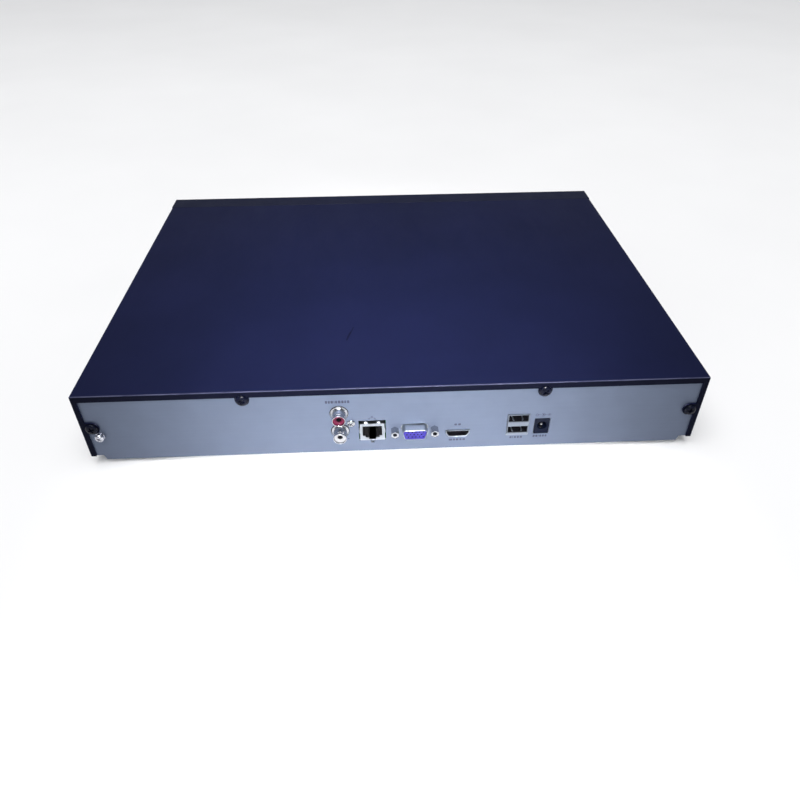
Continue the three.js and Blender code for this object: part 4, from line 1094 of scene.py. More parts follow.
def power_inlet():
    low, high = span("dc_socket")
    pin_low, pin_high = span("dc_pin")
    cx, cz = (pin_low.x + pin_high.x) / 2, (pin_low.z + pin_high.z) / 2
    bottom = BOARD_TOP + 0.8
    face = high.y
    bm = bmesh.new()
    outline = rectangle(cx, (bottom + high.z) / 2, high.x - low.x, high.z - bottom, 0.5)
    hole = circle(cx, cz, 3.2, 40)
    slab(bm, "Y", outline, face - 10, face, [hole], edge=0.25, steps=3)
    slab(bm, "Y", outline, low.y, face - 9.98)
    block(bm, (low.x + 1, low.y, low.z), (high.x - 1, PANEL_Y - 3, bottom + 1), 0.2)
    piece("power_inlet_body", bm, NAVY, ROOT, ("dc_socket",))
    bm = bmesh.new()
    dome = [(1.0 * math.cos(a), pin_high.y - 0.8 + 0.8 * math.sin(a)) for a in ramp(0, math.pi / 2, 6)]
    dome[-1] = (0.0, pin_high.y)
    turned(bm, "Y", (cx, cz), [(0, pin_low.y), (1.0, pin_low.y), *dome], 28)
    path = [(cx, face - y, cz - z) for y, z in ((8.5, 3.1), (4.5, 2.7), (2.4, 2.75), (1.4, 3.1))]
    tube(bm, smooth_path(path, 5), 0.9, 0.1, 8)
    piece("power_inlet_contacts", bm, NICKEL, ROOT, ("dc_pin",))


power_inlet()

# ---------------------------------------------------------------- earth screw


def earth_screw():
    """A cross-head screw with a plain and a spring washer under its head."""
    node = "ground_screw"
    centre = seen_along("Y", *span(node))
    plain = [(1.5, 0.05), (2.85, 0.05), (2.85, 0.75), (1.5, 0.75), (1.5, 0.05)]
    spring = [(1.5, 0.85), (2.4, 0.85), (2.45, 1.3), (2.4, 1.8), (1.5, 1.8), (1.5, 0.85)]
    washers = [
        ([(radius, PANEL_Y + rise) for radius, rise in washer], sides)
        for washer, sides in ((plain, 40), (spring, 36))
    ]
    size = (2.8, 2.2, 1.45, 5.0)
    obj = driven_screw("earth_screw", "Y", centre, PANEL_Y + 1.9, size, 1.4, 35, washers=washers)
    add_piece(obj, ZINC, ROOT, (node,))


earth_screw()

# ---------------------------------------------------------------- generic printed marks

INK_LOW = PANEL_Y + 0.005
INK_HIGH = PANEL_Y + 0.035


def mark(bm, outline, holes=()):
    slab(bm, "Y", outline, INK_LOW, INK_HIGH, holes)


def stroke(bm, x0, z0, x1, z1, width=0.3):
    """A straight printed line."""
    along = Vector((x1 - x0, z1 - z0)).normalized()
    across = Vector((-along.y, along.x)) * width / 2
    one, two = Vector((x0, z0)), Vector((x1, z1))
    mark(bm, [tuple(corner) for corner in (one - across, two - across, two + across, one + across)])


def dashes(bm, cx, cz, widths, height, gap=0.45):
    """A row of plain dashes, centred."""
    total = sum(widths) + gap * (len(widths) - 1)
    x = cx - total / 2
    for width in widths:
        mark(bm, rectangle(x + width / 2, cz, width, height, min(width, height) * 0.25, 2))
        x += width + gap


def network_mark(bm, cx, cz):
    """Three linked squares."""
    for dx, dz in ((0, 0.9), (-1.8, -0.9), (1.8, -0.9)):
        mark(bm, rectangle(cx + dx, cz + dz, 1.25, 0.95), [rectangle(cx + dx, cz + dz, 0.75, 0.45)])
    stroke(bm, cx, cz + 0.42, cx, cz, 0.22)
    stroke(bm, cx - 1.8, cz, cx + 1.8, cz, 0.22)
    for dx in (-1.8, 1.8):
        stroke(bm, cx + dx, cz, cx + dx, cz - 0.42, 0.22)


def polarity_mark(bm, cx, cz):
    """A centre dot in an open ring, between a plus and a minus."""
    mark(bm, circle(cx, cz, 0.6, 20))
    mark(bm, circle(cx, cz, 1.35, 28, 40, 280) + circle(cx, cz, 1.08, 28, 320, -280))
    for side in (-1, 1):
        far = cx + side * 3.9
        mark(bm, circle(far, cz, 1.0, 20), [circle(far, cz, 0.78, 20)])
        stroke(bm, cx + side * (0.5 if side < 0 else 1.2), cz, far - side * 1.0, cz, 0.24)
        stroke(bm, far - 0.5, cz, far + 0.5, cz, 0.24)
    stroke(bm, cx - 3.9, cz - 0.5, cx - 3.9, cz + 0.5, 0.24)


def panel_marks():
    bm = bmesh.new()
    audio = middle("audio_sleeve_red")
    lan, dc = middle("lan_insert"), middle("dc_pin")
    video, ports = middle("digital_video_shell"), middle("usb_shell")
    dashes(bm, audio.x + 0.6, audio.z + 9.0, (1.5, 1.1, 1.4, 1.6, 1.2, 0.4, 1.5, 1.2, 1.3), 2.0, 0.45)
    lower = middle("audio_sleeve_white")
    dashes(bm, lower.x + 4.2, lower.z - 6.6, (1.3,), 1.2)
    dashes(bm, lower.x - 4.8, lower.z - 6.8, (1.3,), 0.7)
    network_mark(bm, lan.x, lan.z + 11.2)
    dashes(bm, video.x + 0.3, video.z + 7.4, (1.7, 1.7), 1.5, 0.7)
    dashes(bm, video.x + 0.2, video.z - 5.2, (1.7, 1.4, 1.8, 1.2, 2.2), 1.6, 0.55)
    dashes(bm, ports.x + 0.4, ports.z - 10.4, (1.5, 1.3, 1.4, 0.5, 1.4), 1.7, 0.5)
    polarity_mark(bm, dc.x, dc.z + 8.6)
    dashes(bm, dc.x + 0.3, dc.z - 8.9, (1.2, 1.3, 1.2, 0.3, 1.4, 1.3), 1.7, 0.45)
    piece("panel_marks", bm, INK, ROOT)


panel_marks()
dress("chassis_tray", TRAY)

# ---------------------------------------------------------------- feet


def foot(node):
    """A rubber foot with a dished sole and the head of its rivet in the recess."""
    low, high = span(node)
    centre = seen_along("Z", low, high)
    radius = (high.x - low.x) / 2
    profile = [
        (2.9, 1.5),
        (2.9, 0.3),
        (3.2, 0.05),
        (4.2, 0.25),
        (6.0, 0.25),
        (6.9, 0.0),
        (radius - 0.75, 0.15),
        (radius - 0.4, 0.6),
        (radius, high.z - 0.5),
        (radius, high.z),
        (2.0, high.z),
        (2.0, 1.5),
        (2.9, 1.5),
    ]
    bm = bmesh.new()
    turned(bm, "Z", centre, profile, 48)
    piece(node.replace("foot", "rubber_foot"), bm, RUBBER, ROOT, (node,))
    bm = bmesh.new()
    turned(bm, "Z", centre, [(0, 0.95), (1.3, 1.0), (2.1, 1.25), (2.5, 1.6), (2.5, 1.9), (0, 1.9)], 32)
    piece(node.replace("foot", "foot_rivet"), bm, ZINC, ROOT)


for name in nodes:
    if name.startswith("foot_"):
        foot(name)

# ---------------------------------------------------------------- front


def lamps_and_marks():
    """Three lamps behind the smoked lens and the plain marks beside them."""
    bar = middle("status_light_bar")
    face = span("front_lens")[0].y
    for index, dx in enumerate((-10, 0, 10)):
        bm = bmesh.new()
        slab(bm, "Y", rectangle(bar.x + dx, bar.z, 2.6, 1.2, 0.3), face - 0.03, face + 0.05)
        piece(f"lens_lamp_{index + 1}", bm, (GREEN_LAMP, BLUE_LAMP, GREEN_LAMP)[index], ROOT)
    bm = bmesh.new()
    for dx, widths in ((-10, (1.4, 0.9)), (0, (0.9, 1.5)), (10, (1.9,))):
        x = bar.x + dx - 1.2
        for width in widths:
            slab(bm, "Y", rectangle(x + width / 2, bar.z - 3.0, width, 0.8, 0.1), face - 0.02, face + 0.02)
            x += width + 0.4
    port = middle("front_usb_socket")
    bezel_face = span("front_bezel")[0].y
    for dx, width in ((-2.2, 1.6), (0.0, 1.6), (2.0, 1.2)):
        mark_at = rectangle(port.x + dx, port.z - 5.6, width, 1.0, 0.15)
        slab(bm, "Y", mark_at, bezel_face - 0.02, bezel_face + 0.02)
    piece("front_marks", bm, PALE_INK, ROOT)


def front_port():
    low, high = span("front_usb_socket")
    cx, cz = seen_along("Y", low, high)
    width, height = high.x - low.x, high.z - low.z
    bm = bmesh.new()
    outer = rectangle(cx, cz, width, height, 0.6)
    inner = rectangle(cx, cz, width - 0.8, height - 0.8, 0.35)
    slab(bm, "Y", outer, low.y, high.y - 1.9, [inner], edge=0.12)
    slab(bm, "Y", outer, high.y - 2, high.y)
    for side in (-1, 1):
        for end, shift in ((-1, 0.0), (1, -0.12)):
            z = cz + end * (height / 2 - 0.4) + shift
            path = [
                (cx + side * 3, low.y + y, z - end * bow)
                for y, bow in ((0.8, 0.0), (2.4, 0.4), (4.0, 0.6), (6.5, 0.0))
            ]
            tube(bm, smooth_path(path, 4), 0.8, 0.1, 8)
    piece("front_port_can", bm, TIN, ROOT, ("front_usb_socket",))
    bm = bmesh.new()
    block(bm, (cx - 5.5, low.y + 3.2, cz), (cx + 5.5, high.y - 1, cz + 1.8), 0.25)
    piece("front_port_tongue", bm, WHITE, ROOT)
    bm = bmesh.new()
    for x in (-3.5, -1.0, 1.0, 3.5):
        block_at(bm, (cx + x, (low.y + high.y) / 2 + 1.2, cz - 0.02), (1.0, high.y - low.y - 6.5, 0.08), 0)
    piece("front_port_contacts", bm, GOLD, ROOT)


def power_key():
    """The round power button, its skirt, its stem and the mark on its face."""
    low, high = span("power_button")
    centre = seen_along("Y", low, high)
    skirt = (high.x - low.x) / 2
    cap = skirt - 1.2
    face = low.y
    profile = [
        (0.0, face + 0.35),
        (2.6, face + 0.25),
        (cap - 1.0, face + 0.05),
        (cap - 0.55, face),
        (cap - 0.2, face + 0.12),
        (cap, face + 0.5),
        (cap, face + 2.7),
        (skirt, face + 2.7),
        (skirt, face + 3.9),
        (2.0, face + 3.9),
        (2.0, high.y),
        (0.0, high.y),
    ]
    bm = bmesh.new()
    turned(bm, "Y", centre, profile, 64)
    piece("power_key", bm, BEZEL, "button", ("power_button",))
    bm = bmesh.new()
    arc = circle(*centre, 1.7, 30, 120, 300) + circle(*centre, 1.35, 30, 60, -300)
    slab(bm, "Y", arc, face + 0.22, face + 0.34)
    slab(bm, "Y", rectangle(centre[0], centre[1] + 1.4, 0.35, 1.7, 0.1), face + 0.2, face + 0.34)
    piece("power_key_mark", bm, PALE_INK, "button")


def front_electronics():
    """Lamps, small parts and screws on the front board."""
    low, high = span("front_board")
    back, face = high.y, low.y
    bar = middle("status_light_bar")
    bm = bmesh.new()
    for dx in (-10, 0, 10):
        block_at(bm, (bar.x + dx + 2.6, face - 0.5, bar.z), (1.6, 1.0, 3.0), 0.1)
    piece("front_lamps", bm, WHITE, ROOT)
    parts = bmesh.new()
    ends = bmesh.new()
    spots = random.Random(11)
    for _ in range(46):
        x = spots.uniform(low.x + 12, high.x - 12)
        z = spots.uniform(low.z + 3, high.z - 3)
        if abs(z - bar.z) < 1.2:
            continue
        block(parts, (x - 0.8, back, z - 0.4), (x + 0.8, back + 0.5, z + 0.4), 0)
        for side in (-1, 1):
            block_at(ends, (x + side * 0.85, back + 0.25, z), (0.3, 0.54, 0.86), 0)
    piece("front_board_parts", parts, CERAMIC, ROOT)
    piece("front_board_part_ends", ends, SOLDER, ROOT)
    inset_x, inset_z = 5.0, 4.0
    places = ((low.x + inset_x, high.z - inset_z), (high.x - inset_x, low.z + inset_z))
    for index, (x, z) in enumerate(places):
        name, size = f"front_board_screw_{index + 1}", (2.4, 1.4, 1.0, 5.0)
        obj = driven_screw(name, "Y", (x, z), back, size, 0.9, 30 * index)
        add_piece(obj, ZINC, ROOT)
    key = middle("power_switch")
    switch_low, switch_high = span("power_switch")
    bm = bmesh.new()
    opening = [circle(key.x, key.z, 1.95, 24)]
    plate = rectangle(key.x, key.z, 6.6, 6.6, 0.3)
    slab(bm, "Y", plate, switch_low.y - 0.05, switch_low.y + 0.3, opening, edge=0.08)
    for sx in (-1, 1):
        for sz in (-1, 1):
            block_at(bm, (key.x + sx * 3.9, switch_high.y - 0.3, key.z + sz * 2.2), (1.1, 0.5, 0.7), 0.08)
    piece("switch_cover", bm, TIN, ROOT)


lamps_and_marks()
front_port()
power_key()
front_electronics()
dress("front_bezel", BEZEL, 0.45)
dress("front_lens", LENS, 0.3)
dress("status_light_bar", CLEAR, 0.15)
dress("front_board", BOARD, 0.1)
dress("power_switch", BLACK, 0.2)
dress("switch_plunger", WHITE, 0.15)

# ---------------------------------------------------------------- main board

PROCESSOR = middle("processor")
CROWDED = [
    span(node)
    for node in (
        "processor_heatsink",
        "coin_cell_holder",
        "buzzer",
        "network_transformer",
        "data_socket_1",
        "data_socket_2",
        "power_header",
        "audio_housing",
        "lan_shield",
        "vga_insert",
        "digital_video_shell",
        "usb_shell",
        "dc_socket",
        "front_lead",
        "fan_lead",
    )
]


def crowd(cx, cy, half_x, half_y):
    """Notes that a stretch of the board is taken."""
    CROWDED.append((Vector((cx - half_x, cy - half_y, 0)), Vector((cx + half_x, cy + half_y, 0))))


def leg_rows(bm, cx, cy, reach, run, count, along_x, height):
    """Two rows of bent legs at a chip's opposite sides."""
    base = BOARD_TOP
    bends = (
        (reach - 0.1, reach + 0.45, base + height * 0.4, base + height * 0.55),
        (reach + 0.3, reach + 0.45, base, base + height * 0.5),
        (reach + 0.3, reach + 0.95, base, base + 0.14),
    )
    for side in (-1, 1):
        for i in range(count):
            offset = (i / (count - 1) - 0.5) * run
            for near, far, z0, z1 in bends:
                a0, a1 = sorted((side * near, side * far))
                if along_x:
                    block(bm, (cx + offset - 0.15, cy + a0, z0), (cx + offset + 0.15, cy + a1, z1), 0)
                else:
                    block(bm, (cx + a0, cy + offset - 0.15, z0), (cx + a1, cy + offset + 0.15, z1), 0)


def board_chips():
    """Chips round the processor: their middle, size, height and legs along x and along y."""
    x, y = PROCESSOR.x, PROCESSOR.y
    chips = (
        (x - 33, y + 14, 8, 12, 1.2, 12, 0),
        (x - 33, y - 1, 8, 12, 1.2, 12, 0),
        (x + 34, y + 8, 14, 18.4, 1.1, 24, 0),
        (x + 32, y - 14, 9, 9, 1.4, 16, 16),
        (x + 57, y + 24, 7, 7, 1.4, 12, 12),
        (x - 75, y + 9, 5, 6, 1.6, 4, 0),
        (x - 46, y + 26, 5, 4, 1.6, 4, 0),
        (x + 9, y + 30, 7, 7, 1.0, 12, 12),
        (x - 2, y - 31, 5, 6.2, 1.6, 4, 0),
    )
    resin, legs = bmesh.new(), bmesh.new()
    ink = bmesh.new()
    for cx, cy, wide, long, height, side_legs, end_legs in chips:
        top = BOARD_TOP + height
        low, high = (cx - wide / 2, cy - long / 2), (cx + wide / 2, cy + long / 2)
        block(resin, (*low, BOARD_TOP + 0.1), (*high, top), 0.12, 1)
        leg_rows(legs, cx, cy, wide / 2, long - 1.2, side_legs, False, height)
        if end_legs:
            leg_rows(legs, cx, cy, long / 2, wide - 1.2, end_legs, True, height)
        slab(ink, "Z", circle(low[0] + 1, high[1] - 1, 0.35, 12), top - 0.01, top + 0.015)
        for row in range(2):
            length = wide * (0.55, 0.4)[row]
            slab(ink, "Z", rectangle(cx, cy - row * 1.1, length, 0.55), top - 0.01, top + 0.015)
        crowd(cx, cy, wide / 2, long / 2)
    piece("board_chips", resin, CHIP, ROOT)
    piece("board_chip_legs", legs, SOLDER, ROOT)
    piece("board_chip_marks", ink, PALE_INK, ROOT)


def board_cans():
    """Upright capacitors on square bases, and wound chokes, near the power inlet and the ports."""
    inlet, ports = middle("dc_socket"), middle("usb_shell")
    x, y = inlet.x, BOARD_HIGH.y - 24
    cans, bases, stripes = bmesh.new(), bmesh.new(), bmesh.new()
    places = (
        (x + 1, y, 3.15, 7.6),
        (x + 9, y, 3.15, 7.6),
        (ports.x + 14, y + 3, 2.5, 5.6),
        (ports.x + 21, y + 3, 2.5, 5.6),
        (x + 1, y - 54, 4.0, 9.5),
        (PROCESSOR.x + 57, PROCESSOR.y - 2, 2.5, 5.6),
        (PROCESSOR.x + 45, PROCESSOR.y - 22, 3.15, 7.6),
    )
    for cx, cy, radius, height in places:
        low, top = BOARD_TOP + 0.9, BOARD_TOP + height
        block_at(bases, (cx, cy, BOARD_TOP + 0.5), (radius * 2.08, radius * 2.08, 1.0), 0.3, 1)
        profile = [
            (0, low),
            (radius - 0.15, low),
            (radius, low + 0.3),
            (radius, low + 0.9),
            (radius - 0.25, low + 1.2),
            (radius, low + 1.5),
            (radius, top - 0.5),
            (radius - 0.18, top - 0.12),
            (radius - 0.5, top),
            (0, top),
        ]
        turned(cans, "Z", (cx, cy), profile, 32)
        arc = circle(cx, cy, radius - 0.55, 16, 130, 100)
        slab(stripes, "Z", arc, top - 0.02, top + 0.02)
        crowd(cx, cy, radius * 1.05, radius * 1.05)
    piece("board_capacitors", cans, FOIL, ROOT)
    piece("board_capacitor_bases", bases, BLACK, ROOT)
    piece("board_capacitor_marks", stripes, INK, ROOT)
    chokes = bmesh.new()
    choke_places = (
        (x + 1, y - 13, 8),
        (x + 1, y - 24, 8),
        (PROCESSOR.x + 45, PROCESSOR.y - 10, 6),
        (x + 20, y - 10, 6),
    )
    for cx, cy, size in choke_places:
        block_at(chokes, (cx, cy, BOARD_TOP + 2), (size, size, 3.9), 0.5, 2)
        low, top = BOARD_TOP + 3, BOARD_TOP + 4.15
        turned(chokes, "Z", (cx, cy), [(0, low), (size * 0.36, low), (size * 0.34, top), (0, top)], 32)
        crowd(cx, cy, size / 2, size / 2)
    piece("board_chokes", chokes, CHIP, ROOT)
    crystals = bmesh.new()
    for dx, dy in ((24, -26), (-28, 26), (48, 16)):
        cx, cy = PROCESSOR.x + dx, PROCESSOR.y + dy
        can, foot_ring = rectangle(cx, cy, 10.0, 3.8, 1.85, 8), rectangle(cx, cy, 10.8, 4.6, 2.25, 8)
        slab(crystals, "Z", can, BOARD_TOP + 0.3, BOARD_TOP + 3.4, edge=0.4, steps=3)
        slab(crystals, "Z", foot_ring, BOARD_TOP, BOARD_TOP + 0.4, edge=0.1, steps=1)
        crowd(cx, cy, 5.4, 2.3)
    piece("board_crystals", crystals, ZINC, ROOT)


def is_free(x, y, margin):
    for low, high in CROWDED:
        inside_x = low.x - margin <= x <= high.x + margin
        inside_y = low.y - margin <= y <= high.y + margin
        if inside_x and inside_y:
            return False
    return True


def board_chip_parts():
    """Rows of chip resistors and capacitors where the board is free."""
    spots = random.Random(5)
    kinds = ((1.6, 0.8, 0.45), (1.6, 0.8, 0.7), (2.0, 1.25, 0.8), (1.0, 0.5, 0.4))
    dark, tan, ends, silk = (bmesh.new() for _ in range(4))
    x = BOARD_LOW.x + 3
    while x < BOARD_HIGH.x - 3:
        y = BOARD_LOW.y + 3
        while y < BOARD_HIGH.y - 6:
            along = spots.random() < 0.5
            if spots.random() < 0.42 and is_free(x, y, 1.8):
                long, wide, tall = spots.choice(kinds)
                body = dark if tall < 0.5 else tan
                size = (long, wide, tall) if along else (wide, long, tall)
                block_at(body, (x, y, BOARD_TOP + tall / 2), size, 0)
                for side in (-1, 1):
                    shift = side * (long / 2 - 0.12)
                    place = (x + shift, y) if along else (x, y + shift)
                    cap = (0.3, wide + 0.06, tall + 0.06) if along else (wide + 0.06, 0.3, tall + 0.06)
                    block_at(ends, (*place, BOARD_TOP + tall / 2), cap, 0)
                if spots.random() < 0.3:
                    border = rectangle(x, y, size[0] + 1.1, size[1] + 1.1)
                    gap = rectangle(x, y, size[0] + 0.8, size[1] + 0.8)
                    slab(silk, "Z", border, BOARD_TOP - 0.005, BOARD_TOP + 0.02, [gap])
            y += spots.uniform(2.2, 3.4)
        x += spots.uniform(2.6, 3.6)
    piece("board_resistors", dark, CHIP, ROOT)
    piece("board_ceramics", tan, CERAMIC, ROOT)
    piece("board_part_ends", ends, SOLDER, ROOT)
    piece("board_silk", silk, PALE_INK, ROOT)


def board_screws():
    """Cross-head screws at the board's four holes."""
    inset, rear_inset = 5.0, 12.0
    index = 0
    for x in (BOARD_LOW.x + inset, BOARD_HIGH.x - inset):
        for y in (BOARD_HIGH.y - rear_inset, BOARD_LOW.y + inset):
            index += 1
            name, size = f"board_screw_{index}", (2.6, 1.7, 1.1, 4.6)
            obj = driven_screw(name, "Z", (x, y), BOARD_TOP, size, 1.0, 17 * index)
            add_piece(obj, ZINC, ROOT)
            crowd(x, y, 3, 3)


def coin_battery():
    low, high = span("coin_cell")
    centre = seen_along("Z", low, high)
    radius = (high.x - low.x) / 2
    profile = [
        (0, low.z),
        (radius - 1.4, low.z),
        (radius - 0.2, low.z + 0.5),
        (radius, low.z + 0.8),
        (radius, high.z - 0.35),
        (radius - 0.35, high.z),
        (radius - 1.6, high.z - 0.02),
        (radius - 1.8, high.z - 0.12),
        (0, high.z - 0.12),
    ]
    bm = bmesh.new()
    turned(bm, "Z", centre, profile, 64)
    piece("coin_battery", bm, ZINC, ROOT, ("coin_cell",))
    bm = bmesh.new()
    slab(bm, "Z", rectangle(centre[0], centre[1] + 4, 2.4, 0.5), high.z - 0.13, high.z - 0.1)
    slab(bm, "Z", rectangle(centre[0], centre[1] + 4, 0.5, 2.4), high.z - 0.13, high.z - 0.1)
    piece("coin_battery_mark", bm, INK, ROOT)


def beeper():
    low, high = span("buzzer")
    centre = seen_along("Z", low, high)
    radius = (high.x - low.x) / 2
    profile = [
        (1.2, high.z - 1.4),
        (1.2, high.z - 0.2),
        (1.4, high.z),
        (radius - 0.9, high.z),
        (radius - 0.25, high.z - 0.2),
        (radius, high.z - 0.9),
        (radius, low.z),
        (1.2, low.z),
        (1.2, high.z - 1.4),
    ]
    bm = bmesh.new()
    turned(bm, "Z", centre, profile, 48)
    piece("beeper", bm, BLACK, ROOT, ("buzzer",))


def transformer():
    low, high = span("network_transformer")
    cx, cy = seen_along("Z", low, high)
    bm = bmesh.new()
    block(bm, (low.x, low.y, low.z + 0.3), high, 0.4)
    piece("transformer_body", bm, CHIP, ROOT, ("network_transformer",))
    bm = bmesh.new()
    leg_rows(bm, cx, cy, (high.y - low.y) / 2, high.x - low.x - 1.6, 10, True, 2.0)
    piece("transformer_legs", bm, SOLDER, ROOT)


board_screws()
board_chips()
board_cans()
board_chip_parts()
coin_battery()
beeper()
transformer()
dress("main_board", BOARD, 0.1)
dress("processor", CHIP, 0.15)
dress("processor_heatsink", ANODISED, 0.18)
dress("coin_cell_holder", BLACK, 0.2)
dress("power_header", WHITE, 0.25)
dress("data_socket_1", BLACK, 0.2)
dress("data_socket_2", BLACK, 0.2)

# ---------------------------------------------------------------- drives

LID_STEP = 0.8  # the lid's flange lies this far below its raised disc


def drive_details(number):
    """A paper label with plain bars, and the lid's screws."""
    lid_low, lid_high = span(f"drive_{number}_lid")
    base_low, base_high = span(f"drive_{number}_base")
    cx = (lid_low.x + lid_high.x) / 2
    disc_y = base_high.y - (base_high.y - base_low.y) * 0.62
    top = lid_high.z
    bm = bmesh.new()
    slab(bm, "Z", rectangle(cx, disc_y, 56, 66, 2.5, 6), top - 0.02, top + 0.08)
    piece(f"drive_label_{number}", bm, LABEL, ROOT)
    spots = random.Random(number)
    dark, band = bmesh.new(), bmesh.new()
    ink_low, ink_high = top + 0.06, top + 0.1
    slab(band, "Z", rectangle(cx, disc_y + 25, 50, 9, 1, 3), ink_low, ink_high)
    for row in range(7):
        x = cx - 24
        y = disc_y + 15 - row * 3.4
        while x < cx + spots.uniform(0, 16):
            width = spots.uniform(1.5, 5)
            slab(dark, "Z", rectangle(x + width / 2, y, width, 1.1), ink_low, ink_high)
            x += width + 0.9
    x = cx - 22
    while x < cx + 18:
        width = spots.choice((0.35, 0.7, 1.05))
        slab(dark, "Z", rectangle(x + width / 2, disc_y - 18, width, 8), ink_low, ink_high)
        x += width + spots.choice((0.4, 0.8))
    for i in range(9):
        for j in range(9):
            if spots.random() < 0.55:
                slab(dark, "Z", rectangle(cx + 16 + i, disc_y + 2 + j, 0.95, 0.95), ink_low, ink_high)
    piece(f"drive_print_{number}", dark, INK, ROOT)
    piece(f"drive_band_{number}", band, BLUE_BAND, ROOT)
    seat = top - LID_STEP
    inset = 4.5
    rows = (lid_low.y + inset, lid_high.y - inset)
    index = 0
    for x in (lid_low.x + inset, lid_high.x - inset):
        for y in rows:
            index += 1
            name, size = f"drive_{number}_lid_screw_{index}", (2.2, 0.75, 1.2, 3.0)
            obj = driven_screw(name, "Z", (x, y), seat, size, 0.6, 45, sides=32)
            add_piece(obj, ZINC, ROOT)


for number in (1, 2):
    drive_details(number)
    dress(f"drive_{number}_base", CAST, 0.5)
    dress(f"drive_{number}_lid", LID, 0.3)

# ---------------------------------------------------------------- cables

PLUG_LENGTH = 14.0
PLUG_HEIGHT = 6.0
SOCKET_ROW = middle("power_header").y


def drive_plug(bm, x, width, number):
    """A plug on a drive's rear edge; returns its free end and its height."""
    low, high = span(f"drive_{number}_base")
    end = high.y + PLUG_LENGTH
    z = low.z + 5.45
    x0, x1 = x - width / 2, x + width / 2
    block(bm, (x0, high.y + 0.1, z - PLUG_HEIGHT / 2), (x1, end - 3.2, z + PLUG_HEIGHT / 2), 0.5)
    block(bm, (x0 + 0.8, end - 3.4, z - 2.3), (x1 - 0.8, end, z + 2.3), 0.7)
    for side in (-1, 1):
        block_at(bm, (x + side * width * 0.25, high.y + 5, z + PLUG_HEIGHT / 2), (1.2, 7, 0.5), 0.15)
    return end, z


def data_cable(number):
    x = middle(f"data_socket_{number}").x
    socket_top = span(f"data_socket_{number}")[1].z
    plugs = bmesh.new()
    end, z = drive_plug(plugs, x, 13.5, number)
    row, top = SOCKET_ROW, socket_top + 0.05
    block(plugs, (x - 6.75, row - 3, top), (x + 6.75, row + 3, top + 8), 0.5)
    block(plugs, (x - 5.6, row - 2.2, top + 7.8), (x + 5.6, row + 2.2, top + 10), 0.6)
    piece(f"data_plugs_{number}", plugs, BLACK, ROOT, (f"data_cable_{number}",))
    path = smooth_path(
        [
            (x, end - 2, z),
            (x, end + 4, z + 1),
            (x, end + 8.5, z + 9),
            (x, end + 12, z + 20),
            (x, row - 7, top + 19),
            (x, row - 1.5, top + 17),
            (x, row, top + 8),
        ],
        8,
    )
    ribbon = bmesh.new()
    tube(ribbon, path, 3.4, 0.75, 20)
    for side in (-1, 1):
        tube(ribbon, path, 1.25, 0.98, 14, offset=(side * 1.9, 0))
    piece(f"data_ribbon_{number}", ribbon, CABLE_RED, ROOT)
    clips = bmesh.new()
    for side in (-1, 1):
        path = [(x + side * 4.2, row + 3.1, top + rise) for rise in (1, 4, 7)]
        tube(clips, smooth_path(path, 2), 1.2, 0.12, 8)
    piece(f"data_clips_{number}", clips, TIN, ROOT)


def bundle(name, paths, colours, radius, spacing, stands_for=()):
    """Round wires side by side along the same path."""
    places = [(a - 0.5, b - 0.5) for b in (0, 1) for a in (0, 1)]
    for index, look in enumerate(colours):
        a, b = places[index]
        wires = bmesh.new()
        for path in paths:
            tube(wires, path, radius, radius, 10, offset=(a * spacing, b * spacing))
        piece(f"{name}_{index + 1}", wires, look, ROOT, stands_for if index == 0 else ())


def power_harness():
    head = middle("power_header")
    top = span("power_header")[1].z + 0.05
    row = SOCKET_ROW
    lane = row - 7
    plugs = bmesh.new()
    block(plugs, (head.x - 5, row - 2.8, top), (head.x + 5, row + 2.8, top + 8), 0.4)
    paths = []
    for number in (1, 2):
        drive_x = middle(f"drive_{number}_lid").x
        x = drive_x + 27
        side = 1 if x > head.x else -1
        end, z = drive_plug(plugs, x, 21, number)
        paths.append(
            smooth_path(
                [
                    (head.x + side * 2, row, top + 7),
                    (head.x + side * 5, row - 2.5, top + 14),
                    (head.x + side * 14, lane, top + 10),
                    (head.x + (x - head.x) * 0.6, lane, top + 2),
                    (x - side * 10, lane - 1, BOARD_TOP + 7),
                    (x - side * 2, end + 8, z + 3),
                    (x, end + 4, z),
                    (x, end - 2, z),
                ],
                7,
            )
        )
    piece("power_plugs", plugs, BLACK, ROOT, ("drive_power_harness",))
    colours = (CABLE_BLACK, CABLE_RED, CABLE_BLACK, CABLE_YELLOW)
    bundle("power_wire", paths, colours, 0.85, 1.9)
    ties = bmesh.new()
    for path in paths:
        for k in (18, 30):
            around = path[k : k + 3]
            tube(ties, around, 2.2, 2.2, 16)
    piece("wire_ties", ties, BLACK, ROOT)


def side_plug(bm, y, length):
    """A small white plug near the board's right edge."""
    x = BOARD_HIGH.x - 7
    y0, y1 = y - length / 2, y + length / 2
    block(bm, (x - 2.5, y0, BOARD_TOP + 0.05), (x + 2.5, y1, BOARD_TOP + 5), 0.3)
    block(bm, (x - 2, y0 + 0.5, BOARD_TOP + 4.8), (x + 2, y1 - 0.5, BOARD_TOP + 8), 0.3)
    return x


